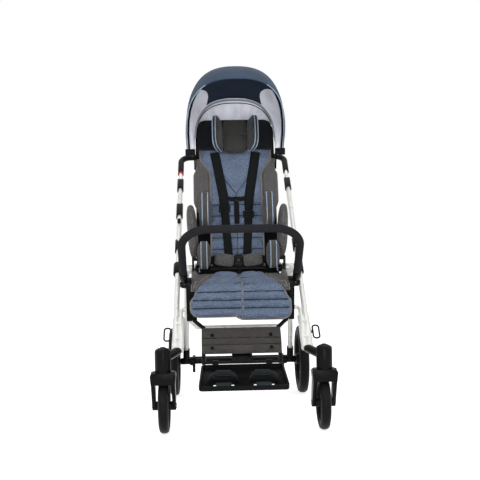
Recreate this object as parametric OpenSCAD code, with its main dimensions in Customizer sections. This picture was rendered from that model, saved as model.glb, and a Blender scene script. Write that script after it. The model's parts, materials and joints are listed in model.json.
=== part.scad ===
// Special needs buggy with a folding tube frame, padded seat, harness and canopy.
// Millimetres. The front faces -Y, Z is up, the origin is on the floor under the middle.

/* [Frame] */
// Distance of each main tube from the middle plane
main_x = 232; // [228:1:240]
// Slope of the main tubes against the floor
main_slope = 37.9; // [36:0.1:40]
// Place of the folding pivot along the buggy
pivot_y = -74; // [-80:1:-68]
// Height of the folding pivot
pivot_z = 530; // [520:1:540]
// Diameter of the main tubes
main_d = 20; // [18.5:0.5:21]
// Diameter of the telescoping handle tubes
inner_d = 16; // [12:0.5:17]
// Main tube from the pivot up to its end
main_up = 590; // [560:1:620]
// From the pivot up to the middle of the push grip
grip_up = 767; // [740:1:790]
// From the pivot down to the top of the leg sleeve
sleeve_down = 266; // [255:1:280]
// Length of the leg sleeve
sleeve_len = 157; // [140:1:170]
// Diameter of each barrel of the leg sleeve
barrel_d = 25; // [24:0.5:28]
// Spacing of the two barrels
barrel_pitch = 17; // [16:0.5:19]

/* [Wheels] */
// Diameter of the rear wheels
rear_d = 276; // [250:1:300]
// Width of the rear tyres
rear_tyre_w = 40; // [34:1:46]
// Distance of each rear wheel from the middle plane
rear_x = 262; // [258:1:275]
// Place of the rear axle along the buggy
axle_y = 173; // [150:1:200]
// Diameter of the front wheels
caster_d = 184; // [160:1:200]
// Width of the front tyres
caster_tyre_w = 36; // [30:1:40]
// Distance of each caster stem from the middle plane
stem_x = 270; // [262:1:290]
// Place of the caster stems along the buggy
stem_y = -494; // [-510:1:-480]
// Trail of the front wheels behind their stems
trail = 40; // [30:1:45]
// Diameter of the caster housings
housing_d = 54; // [46:1:58]

/* [Seat] */
// Half width between the seat rails
seat_half = 168; // [160:1:175]
// Slope of the seat down to the front
seat_slope = 13; // [10:0.5:15]
// Flat length of the thigh pads
pad_flat = 150; // [130:1:160]
// Bend radius of the pads over the front edge
nose_r = 40; // [34:1:50]
// Angle that the pads turn over the front edge
nose_turn = 70; // [60:1:75]
// Length of the pads hanging at the front
pad_drop = 72; // [60:1:85]
// Thickness of a thigh pad at its crown
pad_thick = 26; // [18:1:30]
// Channels sewn across each thigh pad
pad_channels = 7; // [5:1:9]

/* [Backrest] */
// Lean of the backrest from upright
back_lean = 20.7; // [15:0.1:24]
// Height of the backrest above its hinge
back_h = 650; // [620:1:690]
// Half width of the back shell
back_half = 160; // [155:1:163]
// Thickness of the back cushion
back_thick = 30; // [22:1:36]
// Height of the blue back cushion
cushion_h = 517; // [500:1:520]
// Half width of the back cushion at the waist
waist_half = 106; // [90:1:106]
// Half width of the back cushion at the shoulders
shoulder_half = 146; // [130:1:150]

/* [Canopy] */
// Reach of the canopy above its pivot at the back edge
hood_back_r = 232; // [225:1:240]
// Reach of the canopy above its pivot at the front edge
hood_front_r = 380; // [365:1:390]
// Half width of the front canopy
hood_half = 204; // [196:1:208]
// Thickness of the canopy cloth
cloth_t = 4; // [3:0.5:5]

/* [Legrest and footplate] */
// Forward lean of the legrest
leg_lean = 37; // [30:1:45]
// Length of the legrest from its hinge to the footplate
leg_len = 188; // [175:1:200]
// Half width of the calf pad
calf_half = 143; // [130:1:150]
// Length of the footplate
foot_len = 180; // [160:1:190]
// Half width of the footplate at the front
foot_half = 152; // [140:1:154]
// Downward slope of the footplate
foot_slope = 16; // [10:1:18]

/* [Front bar] */
// Half width of the front bar
bar_half = 204; // [200:1:210]
// Reach of the front bar from its pivot
bar_reach = 308; // [290:1:330]
// Rise of the front bar from the level
bar_rise = 40.6; // [35:0.1:46]
// Diameter of the bar's foam
bar_foam_d = 28; // [24:1:32]

/* [Hidden] */
$fn = 48;
fit = 0.05;
gap = 0.3;
over = 2;
fold_lobe = 20;
web_t = 3;

// Colours of the materials
white_paint = "gainsboro";
black_plastic = [0.12, 0.12, 0.13];
steel = "silver";
rubber = [0.08, 0.08, 0.08];
blue_cloth = [0.38, 0.46, 0.60];
grey_cloth = [0.36, 0.34, 0.32];
dark_cloth = [0.25, 0.24, 0.23];
navy_cloth = [0.22, 0.28, 0.38];

// Helpers

function unit(v) = v / norm(v);
function within(c) = max(-1, min(1, c));
function turn_at(pts, i) = acos(within(unit(pts[i] - pts[i - 1]) * unit(pts[i + 1] - pts[i])));
function cut_at(pts, i, bend) =
    i == 0 || i == len(pts) - 1 ? 0 : bend * tan(turn_at(pts, i) / 2);
function span(a, b, n) = [for (i = [0 : n]) a + (b - a) * i / n];
function blend(a, b, t) = a + (b - a) * t;

// Straight round bar from a to b
module rod(a, b, r) {
    d = b - a;
    translate(a)
        rotate([0, acos(within(d.z / norm(d))), atan2(d.y, d.x)])
            cylinder(h = norm(d), r = r);
}

// Arc of a bent tube at corner i of its route
module bend_at(pts, i, bend, r) {
    u = unit(pts[i] - pts[i - 1]);
    v = unit(pts[i + 1] - pts[i]);
    t = turn_at(pts, i);
    centre = pts[i] + unit(v - u) * bend / cos(t / 2);
    ex = unit(pts[i] - u * cut_at(pts, i, bend) - centre);
    ez = cross(ex, u);
    multmatrix([[ex.x, u.x, ez.x, centre.x], [ex.y, u.y, ez.y, centre.y], [ex.z, u.z, ez.z, centre.z]])
        rotate_extrude(angle = t)
            translate([bend, 0])
                circle(r = r);
}

// Round tube along straight runs with equal bends between them
module bent_tube(pts, bend, r) {
    for (i = [0 : len(pts) - 2])
        let (u = unit(pts[i + 1] - pts[i]))
            rod(pts[i] + u * cut_at(pts, i, bend), pts[i + 1] - u * cut_at(pts, i + 1, bend), r);
    for (i = [1 : 1 : len(pts) - 2])
        bend_at(pts, i, bend, r);
}

// Round tube along straight runs with beaded joints
bead = 0.4;
module jointed_tube(pts, r) {
    for (i = [0 : len(pts) - 2])
        rod(pts[i], pts[i + 1], r);
    for (i = [1 : 1 : len(pts) - 2])
        translate(pts[i]) sphere(r = r + bead);
}

// Round bar along X between two distances, at a place in the side view
module x_bar(x0, x1, at, r) {
    translate([x0, at.x, at.y])
        rotate([0, 90, 0])
            cylinder(h = x1 - x0, r = r);
}

// Side view outline extruded along X
module x_plate(x0, x1) {
    translate([x0, 0, 0])
        rotate([90, 0, 90])
            linear_extrude(x1 - x0)
                children();
}

// Rounded link between two places in the side view
module link(a, ra, b, rb) {
    hull() {
        translate(a) circle(r = ra, $fn = 32);
        translate(b) circle(r = rb, $fn = 32);
    }
}

// A piece on the right and its mirror image on the left
module pair() {
    children();
    mirror([1, 0, 0]) children();
}

module left() {
    mirror([1, 0, 0]) children();
}

// Closed solid between two grids of points with the same rows and columns
function grid_faces(first, rows, cols, flip) = [
    for (j = [0 : rows - 2], i = [0 : cols - 2])
        let (a = first + j * cols + i, b = a + 1, c = a + cols, d = c + 1)
            each flip ? [[a, b, c], [b, d, c]] : [[a, c, b], [b, c, d]]];
function rim(rows, cols) = concat(
    [for (i = [0 : cols - 1]) i],
    [for (j = [1 : rows - 1]) j * cols + cols - 1],
    [for (i = [cols - 2 : -1 : 0]) (rows - 1) * cols + i],
    [for (j = [rows - 2 : -1 : 1]) j * cols]);
module padded(front, back) {
    rows = len(front);
    cols = len(front[0]);
    n = rows * cols;
    loop = rim(rows, cols);
    m = len(loop);
    polyhedron(
        points = concat([for (r = front) each r], [for (r = back) each r]),
        faces = concat(
            grid_faces(0, rows, cols, false),
            grid_faces(n, rows, cols, true),
            [for (k = [0 : m - 1])
                let (a = loop[k], b = loop[(k + 1) % m])
                    each [[a, b, a + n], [b, b + n, a + n]]]));
}

// Crown of a cushion across a unit span, 0 at the edges and 1 in the middle
function crown(t) = sqrt(max(0, 1 - pow(abs(2 * t - 1), 3)));
// Puffed channels along a unit length
puff_power = 0.55;
function puff(t, n) = pow(abs(sin(180 * n * t)), puff_power);

// Block cushion with drawn-in edges: size [x, y, z], its face swells by swell along -Y
module block_cushion(size, swell) {
    ts = span(0, 1, cushion_steps);
    zs = span(0, 1, cushion_steps);
    function inset(t) = swell * (1 - crown(t)) * edge_pull_share;
    function at(s, t, y) = [
        blend(inset(t), size.x - inset(t), s), y, blend(inset(s), size.z - inset(s), t)];
    padded(
        [for (t = zs) [for (s = ts) at(s, t, -swell * crown(s) * crown(t))]],
        [for (t = zs) [for (s = ts) at(s, t, size.y)]]);
}
edge_pull_share = 0.5;
cushion_steps = 6;

// Main tubes and chassis

function tube_at(s) = [pivot_y + s * cos(main_slope), pivot_z + s * sin(main_slope)];
pivot = [pivot_y, pivot_z];

module on_tube(s) {
    translate([0, tube_at(s).x, tube_at(s).y])
        rotate([main_slope - 90, 0, 0])
            children();
}

tube_socket = 60;
telescope = 150;
post_d = 14;
rail_t = 8;
plate_in = seat_half + rail_t;
plate_t = 20;
plate_out = plate_in + plate_t;
tube_room = 30;
tube_x = max(main_x, plate_out + tube_room);
post_x = tube_x - barrel_pitch;
post_up = -218;
post_bend = 14;
main_bore = inner_d / 2 + fit;

module frame_tubes() {
    color(white_paint)
        pair() {
            translate([tube_x, 0, 0])
                difference() {
                    on_tube(-sleeve_down - tube_socket)
                        cylinder(h = main_up + sleeve_down + tube_socket, r = main_d / 2);
                    on_tube(main_up - telescope)
                        cylinder(h = telescope + over, r = main_bore);
                }
            on_tube(0)
                bent_tube([[post_x, 0, -sleeve_down - tube_socket], [post_x, 0, post_up],
                    [plate_out, 0, post_up]], post_bend, post_d / 2);
        }
}

slit_w = 3;
slit_inset = 42;
module leg_sleeves() {
    color(white_paint)
        pair()
            difference() {
                on_tube(-sleeve_down - sleeve_len)
                    linear_extrude(sleeve_len)
                        union() {
                            translate([tube_x, 0]) circle(d = barrel_d);
                            translate([post_x, 0]) circle(d = barrel_d);
                        }
                translate([tube_x, 0, 0])
                    on_tube(-sleeve_down - tube_socket)
                        cylinder(h = tube_socket + over, r = main_d / 2 + fit);
                translate([post_x, 0, 0])
                    on_tube(-sleeve_down - tube_socket)
                        cylinder(h = tube_socket + over, r = post_d / 2 + fit);
                for (s = [slit_inset, sleeve_len - slit_inset])
                    on_tube(-sleeve_down - s)
                        translate([post_x, -barrel_d, 0])
                            cube([barrel_pitch, barrel_d, slit_w]);
            }
}

// Caster heights follow the front wheel
caster_axle_z = caster_d / 2;
crown_drop = 9;
crown_h = 38.5;
swivel_gap = 0.5;
crown_z = caster_d - crown_drop;
housing_z = crown_z + crown_h + swivel_gap;
housing_h = 82;
dome_h = 14;
stem_d = 12;
stem_up = 60;
arm_r = 15;
module caster_arms() {
    foot = tube_at(-sleeve_down - sleeve_len);
    color(black_plastic)
        pair()
            difference() {
                union() {
                    translate([stem_x, stem_y, housing_z])
                        rotate_extrude()
                            polygon([[0, 0], [housing_d / 2, 0], [housing_d / 2, housing_h - dome_h],
                                for (a = [15 : 15 : 90])
                                    [housing_d / 2 * cos(a), housing_h - dome_h + dome_h * sin(a)]]);
                    rod([(tube_x + post_x) / 2, foot.x, foot.y],
                        [stem_x, stem_y, housing_z + housing_h / 2], arm_r);
                }
                translate([stem_x, stem_y, housing_z - over])
                    cylinder(h = stem_up + over, d = stem_d + 2 * fit);
                on_tube(-sleeve_down - sleeve_len)
                    translate([post_x - barrel_d, -barrel_d, 0])
                        cube([barrel_pitch + 2 * barrel_d, 2 * barrel_d, sleeve_len]);
            }
}

pin_d = 10;
eye_in = plate_in + gap;
eye_room = 11;
eye_out = tube_x - main_d / 2 - eye_room;
bracket_d = 34;
bracket_len = 56;
boss_d = 30;
pin_room = 2;
pin_end = tube_x - main_d / 2 - pin_room;
module pivot_brackets() {
    color(black_plastic)
        pair()
            difference() {
                union() {
                    translate([tube_x, 0, 0])
                        on_tube(-bracket_len / 2)
                            cylinder(h = bracket_len, d = bracket_d);
                    x_bar(eye_out + gap, tube_x, pivot, boss_d / 2);
                }
                translate([tube_x, 0, 0])
                    on_tube(-bracket_len)
                        cylinder(h = 2 * bracket_len, r = main_d / 2 + fit);
                x_bar(eye_out - over, pin_end + fit, pivot, pin_d / 2 + fit);
            }
}

arm_t = 14;
arm_room = 2;
arm_out = seat_half - arm_room;
arm_in = arm_out - arm_t;
pin_head_t = 4;
module pivot_pins() {
    color(steel)
        pair() {
            x_bar(arm_in - gap, pin_end, pivot, pin_d / 2);
            x_bar(arm_in - gap - pin_head_t, arm_in - gap, pivot, pin_d);
        }
}

// Seat side plates carry the front bar and the legrest
plate_ahead = 166;
plate_below = 44;
hinge_ahead = 150;
hinge_below = 166;
plate_top = [pivot_y - plate_ahead, pivot_z - plate_below];
leg_hinge = [pivot_y - hinge_ahead, pivot_z - hinge_below];
plate_top_r = 24;
plate_foot_r = 15;
stud_d = 12;
bar_tube_d = 14;
bar_room = 1;
bar_x = max(bar_half, plate_out + bar_tube_d / 2 + bar_room);
lug_end = bar_x + bar_tube_d / 2 + gap;
stud_cap_t = 4;
leg_pin_d = 8;
knuckle_w = 17;
recess_t = 3;
recess_share = 0.75;
module side_plates() {
    color(black_plastic)
        pair() {
            difference() {
                x_plate(plate_in, plate_out)
                    link(plate_top, plate_top_r, leg_hinge, plate_foot_r);
                x_bar(plate_out - recess_t, plate_out + over,
                    blend(plate_top, leg_hinge, recess_share), plate_foot_r / 2);
            }
            x_bar(plate_out, lug_end + gap, plate_top, stud_d / 2);
            x_bar(lug_end + gap, lug_end + gap + stud_cap_t, plate_top, stud_d);
            x_bar(plate_in - knuckle_w - 2 * gap, plate_in, leg_hinge, leg_pin_d / 2);
        }
}

rail_front_r = 26;
hip_lug_r = 11;
hip_lug_ahead = 54;
hip_lug_above = 40;
hip_lug_at = [pivot_y - hip_lug_ahead, pivot_z + hip_lug_above];
lug_root_share = 0.3;
hip_room = 21;
hip_out = seat_half - hip_room;
module seat_rails() {
    rail_front = [plate_top.x, plate_top.y - rail_front_r];
    color(black_plastic)
        pair() {
            difference() {
                x_plate(seat_half, plate_in) {
                    link(pivot, fold_lobe, rail_front, rail_front_r);
                    link(hip_lug_at, hip_lug_r, blend(pivot, rail_front, lug_root_share), hip_lug_r);
                }
                x_bar(seat_half - over, plate_in + over, pivot, pin_d / 2 + fit);
            }
            x_bar(hip_out + gap, seat_half, hip_lug_at, hip_lug_r / 2);
        }
}

// Route of the seat surface in the side view, with an offset along its normal
seat_ahead = 30;
seat_below = 25;
seat_rear = [pivot_y - seat_ahead, pivot_z - seat_below];
nose_len = nose_r * nose_turn * PI / 180;
pad_len = pad_flat + nose_len + pad_drop;
function seat_dir(a) = [-cos(a), -sin(a)];
function seat_normal(a) = [-sin(a), cos(a)];
nose_start = seat_rear + pad_flat * seat_dir(seat_slope);
nose_centre = nose_start - nose_r * seat_normal(seat_slope);
function seat_angle(l) = seat_slope + nose_turn * max(0, min(1, (l - pad_flat) / nose_len));
function seat_on(l) =
    l < pad_flat ? seat_rear + l * seat_dir(seat_slope)
    : nose_centre + nose_r * seat_normal(seat_angle(l))
        + max(0, l - pad_flat - nose_len) * seat_dir(seat_angle(l));
function seat_at(l, off) = seat_on(l) + off * seat_normal(seat_angle(l));

base_t = 33;
tray_t = 9;
tray_wall = 6;
tray_wall_h = 46;
module seat_tray() {
    ls = [0, pad_flat];
    color(black_plastic) {
        x_plate(-seat_half, seat_half)
            polygon(concat([for (l = ls) seat_at(l, -base_t)],
                [for (l = [pad_flat, 0]) seat_at(l, -base_t - tray_t)]));
        for (x = [-seat_half, seat_half - tray_wall])
            x_plate(x, x + tray_wall)
                polygon(concat([for (l = ls) seat_at(l, -base_t + tray_wall_h)],
                    [for (l = [pad_flat, 0]) seat_at(l, -base_t - tray_t)]));
    }
}

base_half = seat_half - tray_wall - gap;
nose_rows = 6;
module seat_base() {
    top = concat(span(0, pad_flat, 1), span(pad_flat, pad_flat + nose_len, nose_rows));
    color(grey_cloth)
        x_plate(-base_half, base_half)
            polygon(concat([for (l = top) seat_at(l, -gap)],
                [for (i = [len(top) - 1 : -1 : 0]) seat_at(top[i], -base_t)]));
}

pad_rear_half = 88;
pad_room = 4;
pad_front_half = seat_half - pad_room;
pad_seam = 8;
pad_edge = 7;
pad_split = 3;
pad_corner = 38;
pad_widen_share = 0.7;
pad_flare = 16;
pad_flare_len = 24;
pad_widen = pad_widen_share * pad_len;
function ease(t) = let (c = max(0, min(1, t))) c * c * (3 - 2 * c);
function pad_out(l) =
    let (w = blend(pad_rear_half, pad_front_half, min(1, l / pad_widen)),
        f = pad_flare * ease((l - pad_widen) / pad_flare_len),
        d = max(0, l - pad_len + pad_corner))
        w + f - pad_corner + sqrt(max(0, pad_corner * pad_corner - d * d));
module thigh_pad() {
    ts = span(0, 1, pad_channels * 4);
    ss = span(0, 1, 6);
    function lift(s, t) = pad_edge + (pad_thick - pad_edge) * crown(s)
        * blend(pad_seam / pad_thick, 1, puff(t, pad_channels));
    function at(s, t, off) =
        let (p = seat_at(t * pad_len, off))
            [blend(pad_split, pad_out(t * pad_len), s), p.x, p.y];
    padded([for (t = ts) [for (s = ss) at(s, t, lift(s, t))]],
        [for (t = ts) [for (s = ss) at(s, t, 0)]]);
}
module thigh_pad_left() {
    color(blue_cloth) left() thigh_pad();
}
module thigh_pad_right() {
    color(blue_cloth) thigh_pad();
}

// Grey corner bolsters fill the seat beside the pads
bolster_len_share = 0.66;
bolster_h = 22;
bolster_gap = 2;
module seat_bolsters() {
    ss = span(0, 1, 5);
    reach = bolster_len_share * pad_len;
    nose = [for (l = span(pad_flat, pad_flat + nose_len, nose_rows)) if (l > pad_flat && l < reach - gap) l];
    ts = (reach > pad_flat ? concat(span(0, pad_flat, 5), nose, [reach]) : span(0, reach, 6)) / reach;
    function at(s, t, h) =
        let (l = t * reach, p = seat_at(l, h), x = pad_out(l) + bolster_gap)
            [blend(x, max(x + bolster_gap, base_half), s), p.x, p.y];
    color(grey_cloth)
        pair()
            padded([for (t = ts) [for (s = ss) at(s, t, bolster_h * crown(s) * crown(t) + pad_edge)]],
                [for (t = ts) [for (s = ss) at(s, t, 0)]]);
}

hip_t = 39;
hip_in = hip_out - hip_t;
hip_above = 6;
hip_z = pivot_z + hip_above;
hip_h = 100;
hip_len = 84;
hip_ahead = 4;
hip_back = pivot_y - hip_ahead;
hip_swell = 8;
module hip_pads() {
    color(dark_cloth)
        pair()
            translate([hip_in, hip_back - hip_len, hip_z])
                block_cushion([hip_out - hip_in, hip_len, hip_h], hip_swell);
}

buckle_half = 14;
buckle_h = 44;
buckle_t = 20;
belt_above = 12;
belt_z = pivot_z + belt_above;
belt_h = 46;
belt_t = 14;
belt_ahead = 40;
belt_y = pivot_y - belt_ahead;
belt_in = 20;
belt_room = 18;
belt_out = hip_in - belt_room;
belt_swell = 5;
web_h = 30;
module lap_belt() {
    color(grey_cloth)
        pair() {
            translate([belt_in, belt_y, belt_z])
                block_cushion([belt_out - belt_in, belt_t, belt_h], belt_swell);
            translate([buckle_half + gap, belt_y + belt_t, belt_z + (belt_h - web_h) / 2])
                cube([hip_in - buckle_half - 2 * gap, web_t, web_h]);
        }
}

strap_t = 2.4;
strap_w = 16;
buckle_out = 2;
buckle_y = belt_y - buckle_out;
module crotch_strap() {
    rear = seat_at(0, gap);
    front = seat_at(strap_w, gap);
    color(black_plastic)
        x_plate(-strap_t / 2, strap_t / 2)
            polygon([rear, [rear.x, belt_z], [front.x, belt_z], front]);
}

button_half = 8;
button_h = 16;
button_t = 5;
button_out = 2.5;
module buckle_body() {
    color(black_plastic)
        translate([-buckle_half, buckle_y, belt_z])
            difference() {
                cube([2 * buckle_half, buckle_t, buckle_h]);
                translate([buckle_half - button_half - gap, -over, (buckle_h - button_h) / 2 - gap])
                    cube([2 * button_half + 2 * gap, button_t + over + gap, button_h + 2 * gap]);
            }
}
module buckle_button() {
    color(black_plastic)
        translate([-button_half, buckle_y - button_out, belt_z + (buckle_h - button_h) / 2])
            cube([2 * button_half, button_t, button_h]);
}

loop_half = 11;
loop_len = 62;
loop_d = 6;
loop_bend = 10;
stub_d = 10;
module tie_loops() {
    x0 = tube_x + barrel_d / 2;
    color(black_plastic)
        pair()
            on_tube(-sleeve_down - sleeve_len / 2)
                translate([x0 + loop_half + loop_d, 0, 0]) {
                    ring = [[-loop_half, 0, 0], [-loop_half, 0, loop_len / 2], [loop_half, 0, loop_len / 2],
                        [loop_half, 0, -loop_len / 2], [-loop_half, 0, -loop_len / 2], [-loop_half, 0, 0]];
                    bent_tube(ring, loop_bend, loop_d / 2);
                    rod([-loop_half - loop_d, 0, 0], [-loop_half, 0, 0], stub_d / 2);
                }
}

// Clips and clamps on the main tubes have notched ends
clip_d = 28;
notch_d = 17;
clamp_len = 78;
clip_low = 104;
clip_low_len = 68;
clip_mid = 324;
clip_mid_len = 88;
knob_d = 14;
knob_len = 16;
module notched_clip(s, len, bore) {
    translate([tube_x, 0, 0])
        on_tube(s)
            difference() {
                cylinder(h = len, d = clip_d);
                translate([0, 0, -over]) cylinder(h = len + 2 * over, r = bore);
                for (z = [0, len])
                    translate([0, 0, z])
                        rotate([90, 0, 0])
                            cylinder(h = clip_d, d = notch_d);
            }
}
module tube_clips() {
    color(black_plastic) {
        pair() {
            notched_clip(clip_low, clip_low_len, main_d / 2 + fit);
            notched_clip(main_up - clamp_len, clamp_len, main_d / 2 + fit);
        }
        left() {
            notched_clip(clip_mid, clip_mid_len, main_d / 2 + fit);
            translate([tube_x, 0, 0])
                on_tube(clip_mid - clip_mid_len / 2)
                    rotate([90, 0, 0])
                        translate([0, 0, main_d / 2])
                            cylinder(h = knob_len, d = knob_d);
        }
    }
}

// Telescoping push handle
handle_bend = 40;
grip_d = 26;
grip_down = 125;
grip_notch_d = 12;
tube_in = 120;
function handle_route(low) = [
    for (p = [[-1, low], [-1, grip_up], [1, grip_up], [1, low]])
        [p.x * tube_x, 0, p.y]];
module push_handle() {
    color(white_paint)
        on_tube(0)
            bent_tube(handle_route(main_up - tube_in), handle_bend, inner_d / 2);
}
module handle_grip() {
    low = grip_up - grip_down;
    color(black_plastic)
        on_tube(0)
            difference() {
                bent_tube(handle_route(low), handle_bend, grip_d / 2);
                bent_tube(handle_route(low - over), handle_bend, inner_d / 2 + fit);
                pair()
                    translate([tube_x, 0, low])
                        rotate([90, 0, 0])
                            cylinder(h = grip_d, d = grip_notch_d);
            }
}
ring_h = 7;
module lock_ring() {
    color("crimson")
        left()
            translate([tube_x, 0, 0])
                on_tube(grip_up - grip_down - ring_h - gap)
                    difference() {
                        cylinder(h = ring_h, d = grip_d);
                        translate([0, 0, -over]) cylinder(h = ring_h + 2 * over, r = inner_d / 2 + fit);
                    }
}

// Rear frame folds about the pivot
axle = [axle_y, rear_d / 2];
leg_d = 20;
leg_offset = 4;
leg_top_x = (eye_in + eye_out) / 2 + leg_offset;
leg_foot_x = 214;
eye_d = 34;
brace_share = 0.5;
brace_drop = 42;
brace_d = 16;
axle_rod_d = 12;
axle_tube_d = 24;
block_len = 66;
block_d = 27;
block_in = leg_foot_x - block_d / 2;
wheel_clear = 6;
block_out = rear_x - rear_tyre_w / 2 - wheel_clear;
leg_top = [leg_top_x, pivot.x, pivot.y];
leg_foot = [leg_foot_x, axle.x, axle.y];
leg_run = unit(leg_top - leg_foot);
leg_seat = leg_foot + leg_run * (block_len - tube_socket / 2);
module rear_legs() {
    joint = blend(leg_top, leg_foot, brace_share);
    color(white_paint)
        difference() {
            union() {
                pair() {
                    rod(leg_seat, leg_top, leg_d / 2);
                    x_bar(eye_in, eye_out, pivot, eye_d / 2);
                }
                jointed_tube([[-joint.x, joint.y, joint.z],
                    [brace_drop - joint.x, joint.y, joint.z - brace_drop],
                    [joint.x - brace_drop, joint.y, joint.z - brace_drop], joint], brace_d / 2);
            }
            pair()
                x_bar(eye_in - over, eye_out + over, pivot, pin_d / 2 + fit);
        }
}
module axle_blocks() {
    color(black_plastic)
        pair()
            difference() {
                union() {
                    rod(leg_foot, leg_foot + leg_run * block_len, block_d / 2);
                    x_bar(block_in, block_out, axle, block_d / 2);
                }
                rod(leg_seat, leg_foot + leg_run * (block_len + over), leg_d / 2 + fit);
                x_bar(block_in - over, block_out + over, axle, axle_rod_d / 2 + fit);
            }
}
rear_hub_half = 24;
axle_cap_t = 4;
spacer_d = 19;
axle_end = rear_x + rear_hub_half + gap;
module rear_axle() {
    color(black_plastic) {
        x_bar(-axle_end, axle_end, axle, axle_rod_d / 2);
        x_bar(-block_in, block_in, axle, axle_tube_d / 2);
        pair() {
            x_bar(axle_end, axle_end + axle_cap_t, axle, axle_rod_d);
            x_bar(block_out, rear_x - rear_hub_half - gap, axle, spacer_d / 2);
        }
    }
}

// Foot brake rocker turning on the axle tube
brake_gap = 1;
brake_out = block_in - brake_gap;
brake_w = 22;
brake_d = 36;
lever_len = 40;
lever_d = 10;
link_off = 30;
link_d = 8;
module brake_pedal() {
    color(black_plastic)
        difference() {
            union() {
                pair() {
                    x_bar(brake_out - brake_w, brake_out, axle, brake_d / 2);
                    x_plate(brake_out - brake_w, brake_out - brake_w / 2)
                        link(axle, brake_d / 2, axle + [-lever_d, -lever_len], lever_d / 2);
                    x_plate(brake_out - brake_w, brake_out - brake_w / 2)
                        link(axle, brake_d / 3, axle + [link_off, lever_d], lever_d);
                }
                x_bar(-brake_out + brake_w / 2, brake_out - brake_w / 2, axle + [link_off, lever_d],
                    link_d / 2);
            }
            x_bar(-brake_out - over, brake_out + over, axle, axle_tube_d / 2 + fit);
        }
}

// Wheels: a rim with windows and a tyre round it, made about the X axis at the origin
module wheel_rim(r, ring_w, depth, hub_r, hub_half, bore_r, windows) {
    disc_t = depth / 3;
    mid = (r - ring_w + hub_r) / 2;
    rotate([0, 90, 0])
        difference() {
            rotate_extrude()
                polygon([[bore_r, -hub_half], [hub_r, -hub_half], [hub_r, -disc_t / 2],
                    [r - ring_w, -disc_t / 2], [r - ring_w, -depth / 2], [r, -depth / 2],
                    [r, depth / 2], [r - ring_w, depth / 2], [r - ring_w, disc_t / 2],
                    [hub_r, disc_t / 2], [hub_r, hub_half], [bore_r, hub_half]]);
            for (k = [0 : windows - 1])
                rotate([0, 0, k * 360 / windows])
                    translate([mid, 0, -disc_t])
                        cylinder(h = 2 * disc_t, r = (r - ring_w - hub_r) * window_share);
        }
}
window_share = 0.38;
module wheel_tyre(r, inner_r, w) {
    shoulder = w / 4;
    rotate([0, 90, 0])
        rotate_extrude()
            polygon([[inner_r, -w / 2 + shoulder / 2], [r - 2 * shoulder, -w / 2],
                for (a = [-75 : 15 : 75])
                    [r - shoulder + shoulder * cos(a), (w / 2 - shoulder / 4) * sin(a)],
                [r - 2 * shoulder, w / 2], [inner_r, w / 2 - shoulder / 2]]);
}
rear_tyre_h = 26;
rear_rim_r = rear_d / 2 - rear_tyre_h;
rear_ring = 10;
rear_hub_r = 22;
rear_depth = 30;
rear_windows = 6;
module rear_rim() {
    color("dimgray")
        translate([rear_x, axle.x, axle.y])
            wheel_rim(rear_rim_r, rear_ring, rear_depth, rear_hub_r, rear_hub_half,
                axle_rod_d / 2 + fit, rear_windows);
}
module rear_tyre() {
    color(rubber)
        translate([rear_x, axle.x, axle.y])
            wheel_tyre(rear_d / 2, rear_rim_r + fit, rear_tyre_w);
}
module rear_rim_left() { left() rear_rim(); }
module rear_tyre_left() { left() rear_tyre(); }
module rear_rim_right() { rear_rim(); }
module rear_tyre_right() { rear_tyre(); }

// Casters
fork_t = 12;
fork_out = 40;
fork_in = fork_out - fork_t;
crown_half = 43;
crown_depth = 54;
crown_round = 12;
crown_foot = 4;
stem_root = 2;
fork_foot_r = 15;
wheel_room = 5;
caster_axle_d = 8;
nut_t = 3;
caster_at = [stem_y + trail, caster_axle_z];
module caster_fork() {
    color(black_plastic)
        translate([stem_x, 0, 0])
            difference() {
                union() {
                    translate([0, stem_y, housing_z - swivel_gap - stem_root])
                        cylinder(h = stem_up - stem_root, d = stem_d);
                    translate([0, stem_y + crown_depth / 2, crown_z])
                        rotate([90, 0, 0])
                            linear_extrude(crown_depth)
                                hull()
                                    for (x = [-1, 1]) {
                                        translate([x * (fork_out - crown_foot / 2), 0])
                                            square(crown_foot, center = true);
                                        translate([x * (crown_half - crown_round), crown_h - crown_round])
                                            circle(r = crown_round, $fn = 32);
                                    }
                    for (x = [-fork_out, fork_in])
                        x_plate(x, x + fork_t)
                            link([stem_y, crown_z + crown_h / 3], crown_depth / 2, caster_at, fork_foot_r);
                }
                x_bar(-fork_in, fork_in, caster_at, caster_d / 2 + wheel_room);
                x_bar(-fork_out - over, fork_out + over, caster_at, caster_axle_d / 2 + fit);
            }
}
module caster_axle() {
    color(steel)
        translate([stem_x, 0, 0]) {
            x_bar(-fork_out, fork_out, caster_at, caster_axle_d / 2);
            for (x = [-fork_out - nut_t, fork_out])
                x_bar(x, x + nut_t, caster_at, caster_axle_d);
        }
}
caster_tyre_h = 22;
caster_rim_r = caster_d / 2 - caster_tyre_h;
caster_ring = 8;
caster_hub_r = 15;
caster_depth = 28;
caster_windows = 5;
module caster_rim() {
    color("dimgray")
        translate([stem_x, caster_at.x, caster_at.y])
            wheel_rim(caster_rim_r, caster_ring, caster_depth, caster_hub_r, fork_in - gap,
                caster_axle_d / 2 + fit, caster_windows);
}
module caster_tyre() {
    color(rubber)
        translate([stem_x, caster_at.x, caster_at.y])
            wheel_tyre(caster_d / 2, caster_rim_r + fit, caster_tyre_w);
}
module caster_fork_left() { left() caster_fork(); }
module caster_axle_left() { left() caster_axle(); }
module caster_rim_left() { left() caster_rim(); }
module caster_tyre_left() { left() caster_tyre(); }
module caster_fork_right() { caster_fork(); }
module caster_axle_right() { caster_axle(); }
module caster_rim_right() { caster_rim(); }
module caster_tyre_right() { caster_tyre(); }

// Backrest, made upright about its hinge and leant back
module on_back() {
    translate([0, pivot.x, pivot.y])
        rotate([-back_lean, 0, 0])
            children();
}

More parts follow.
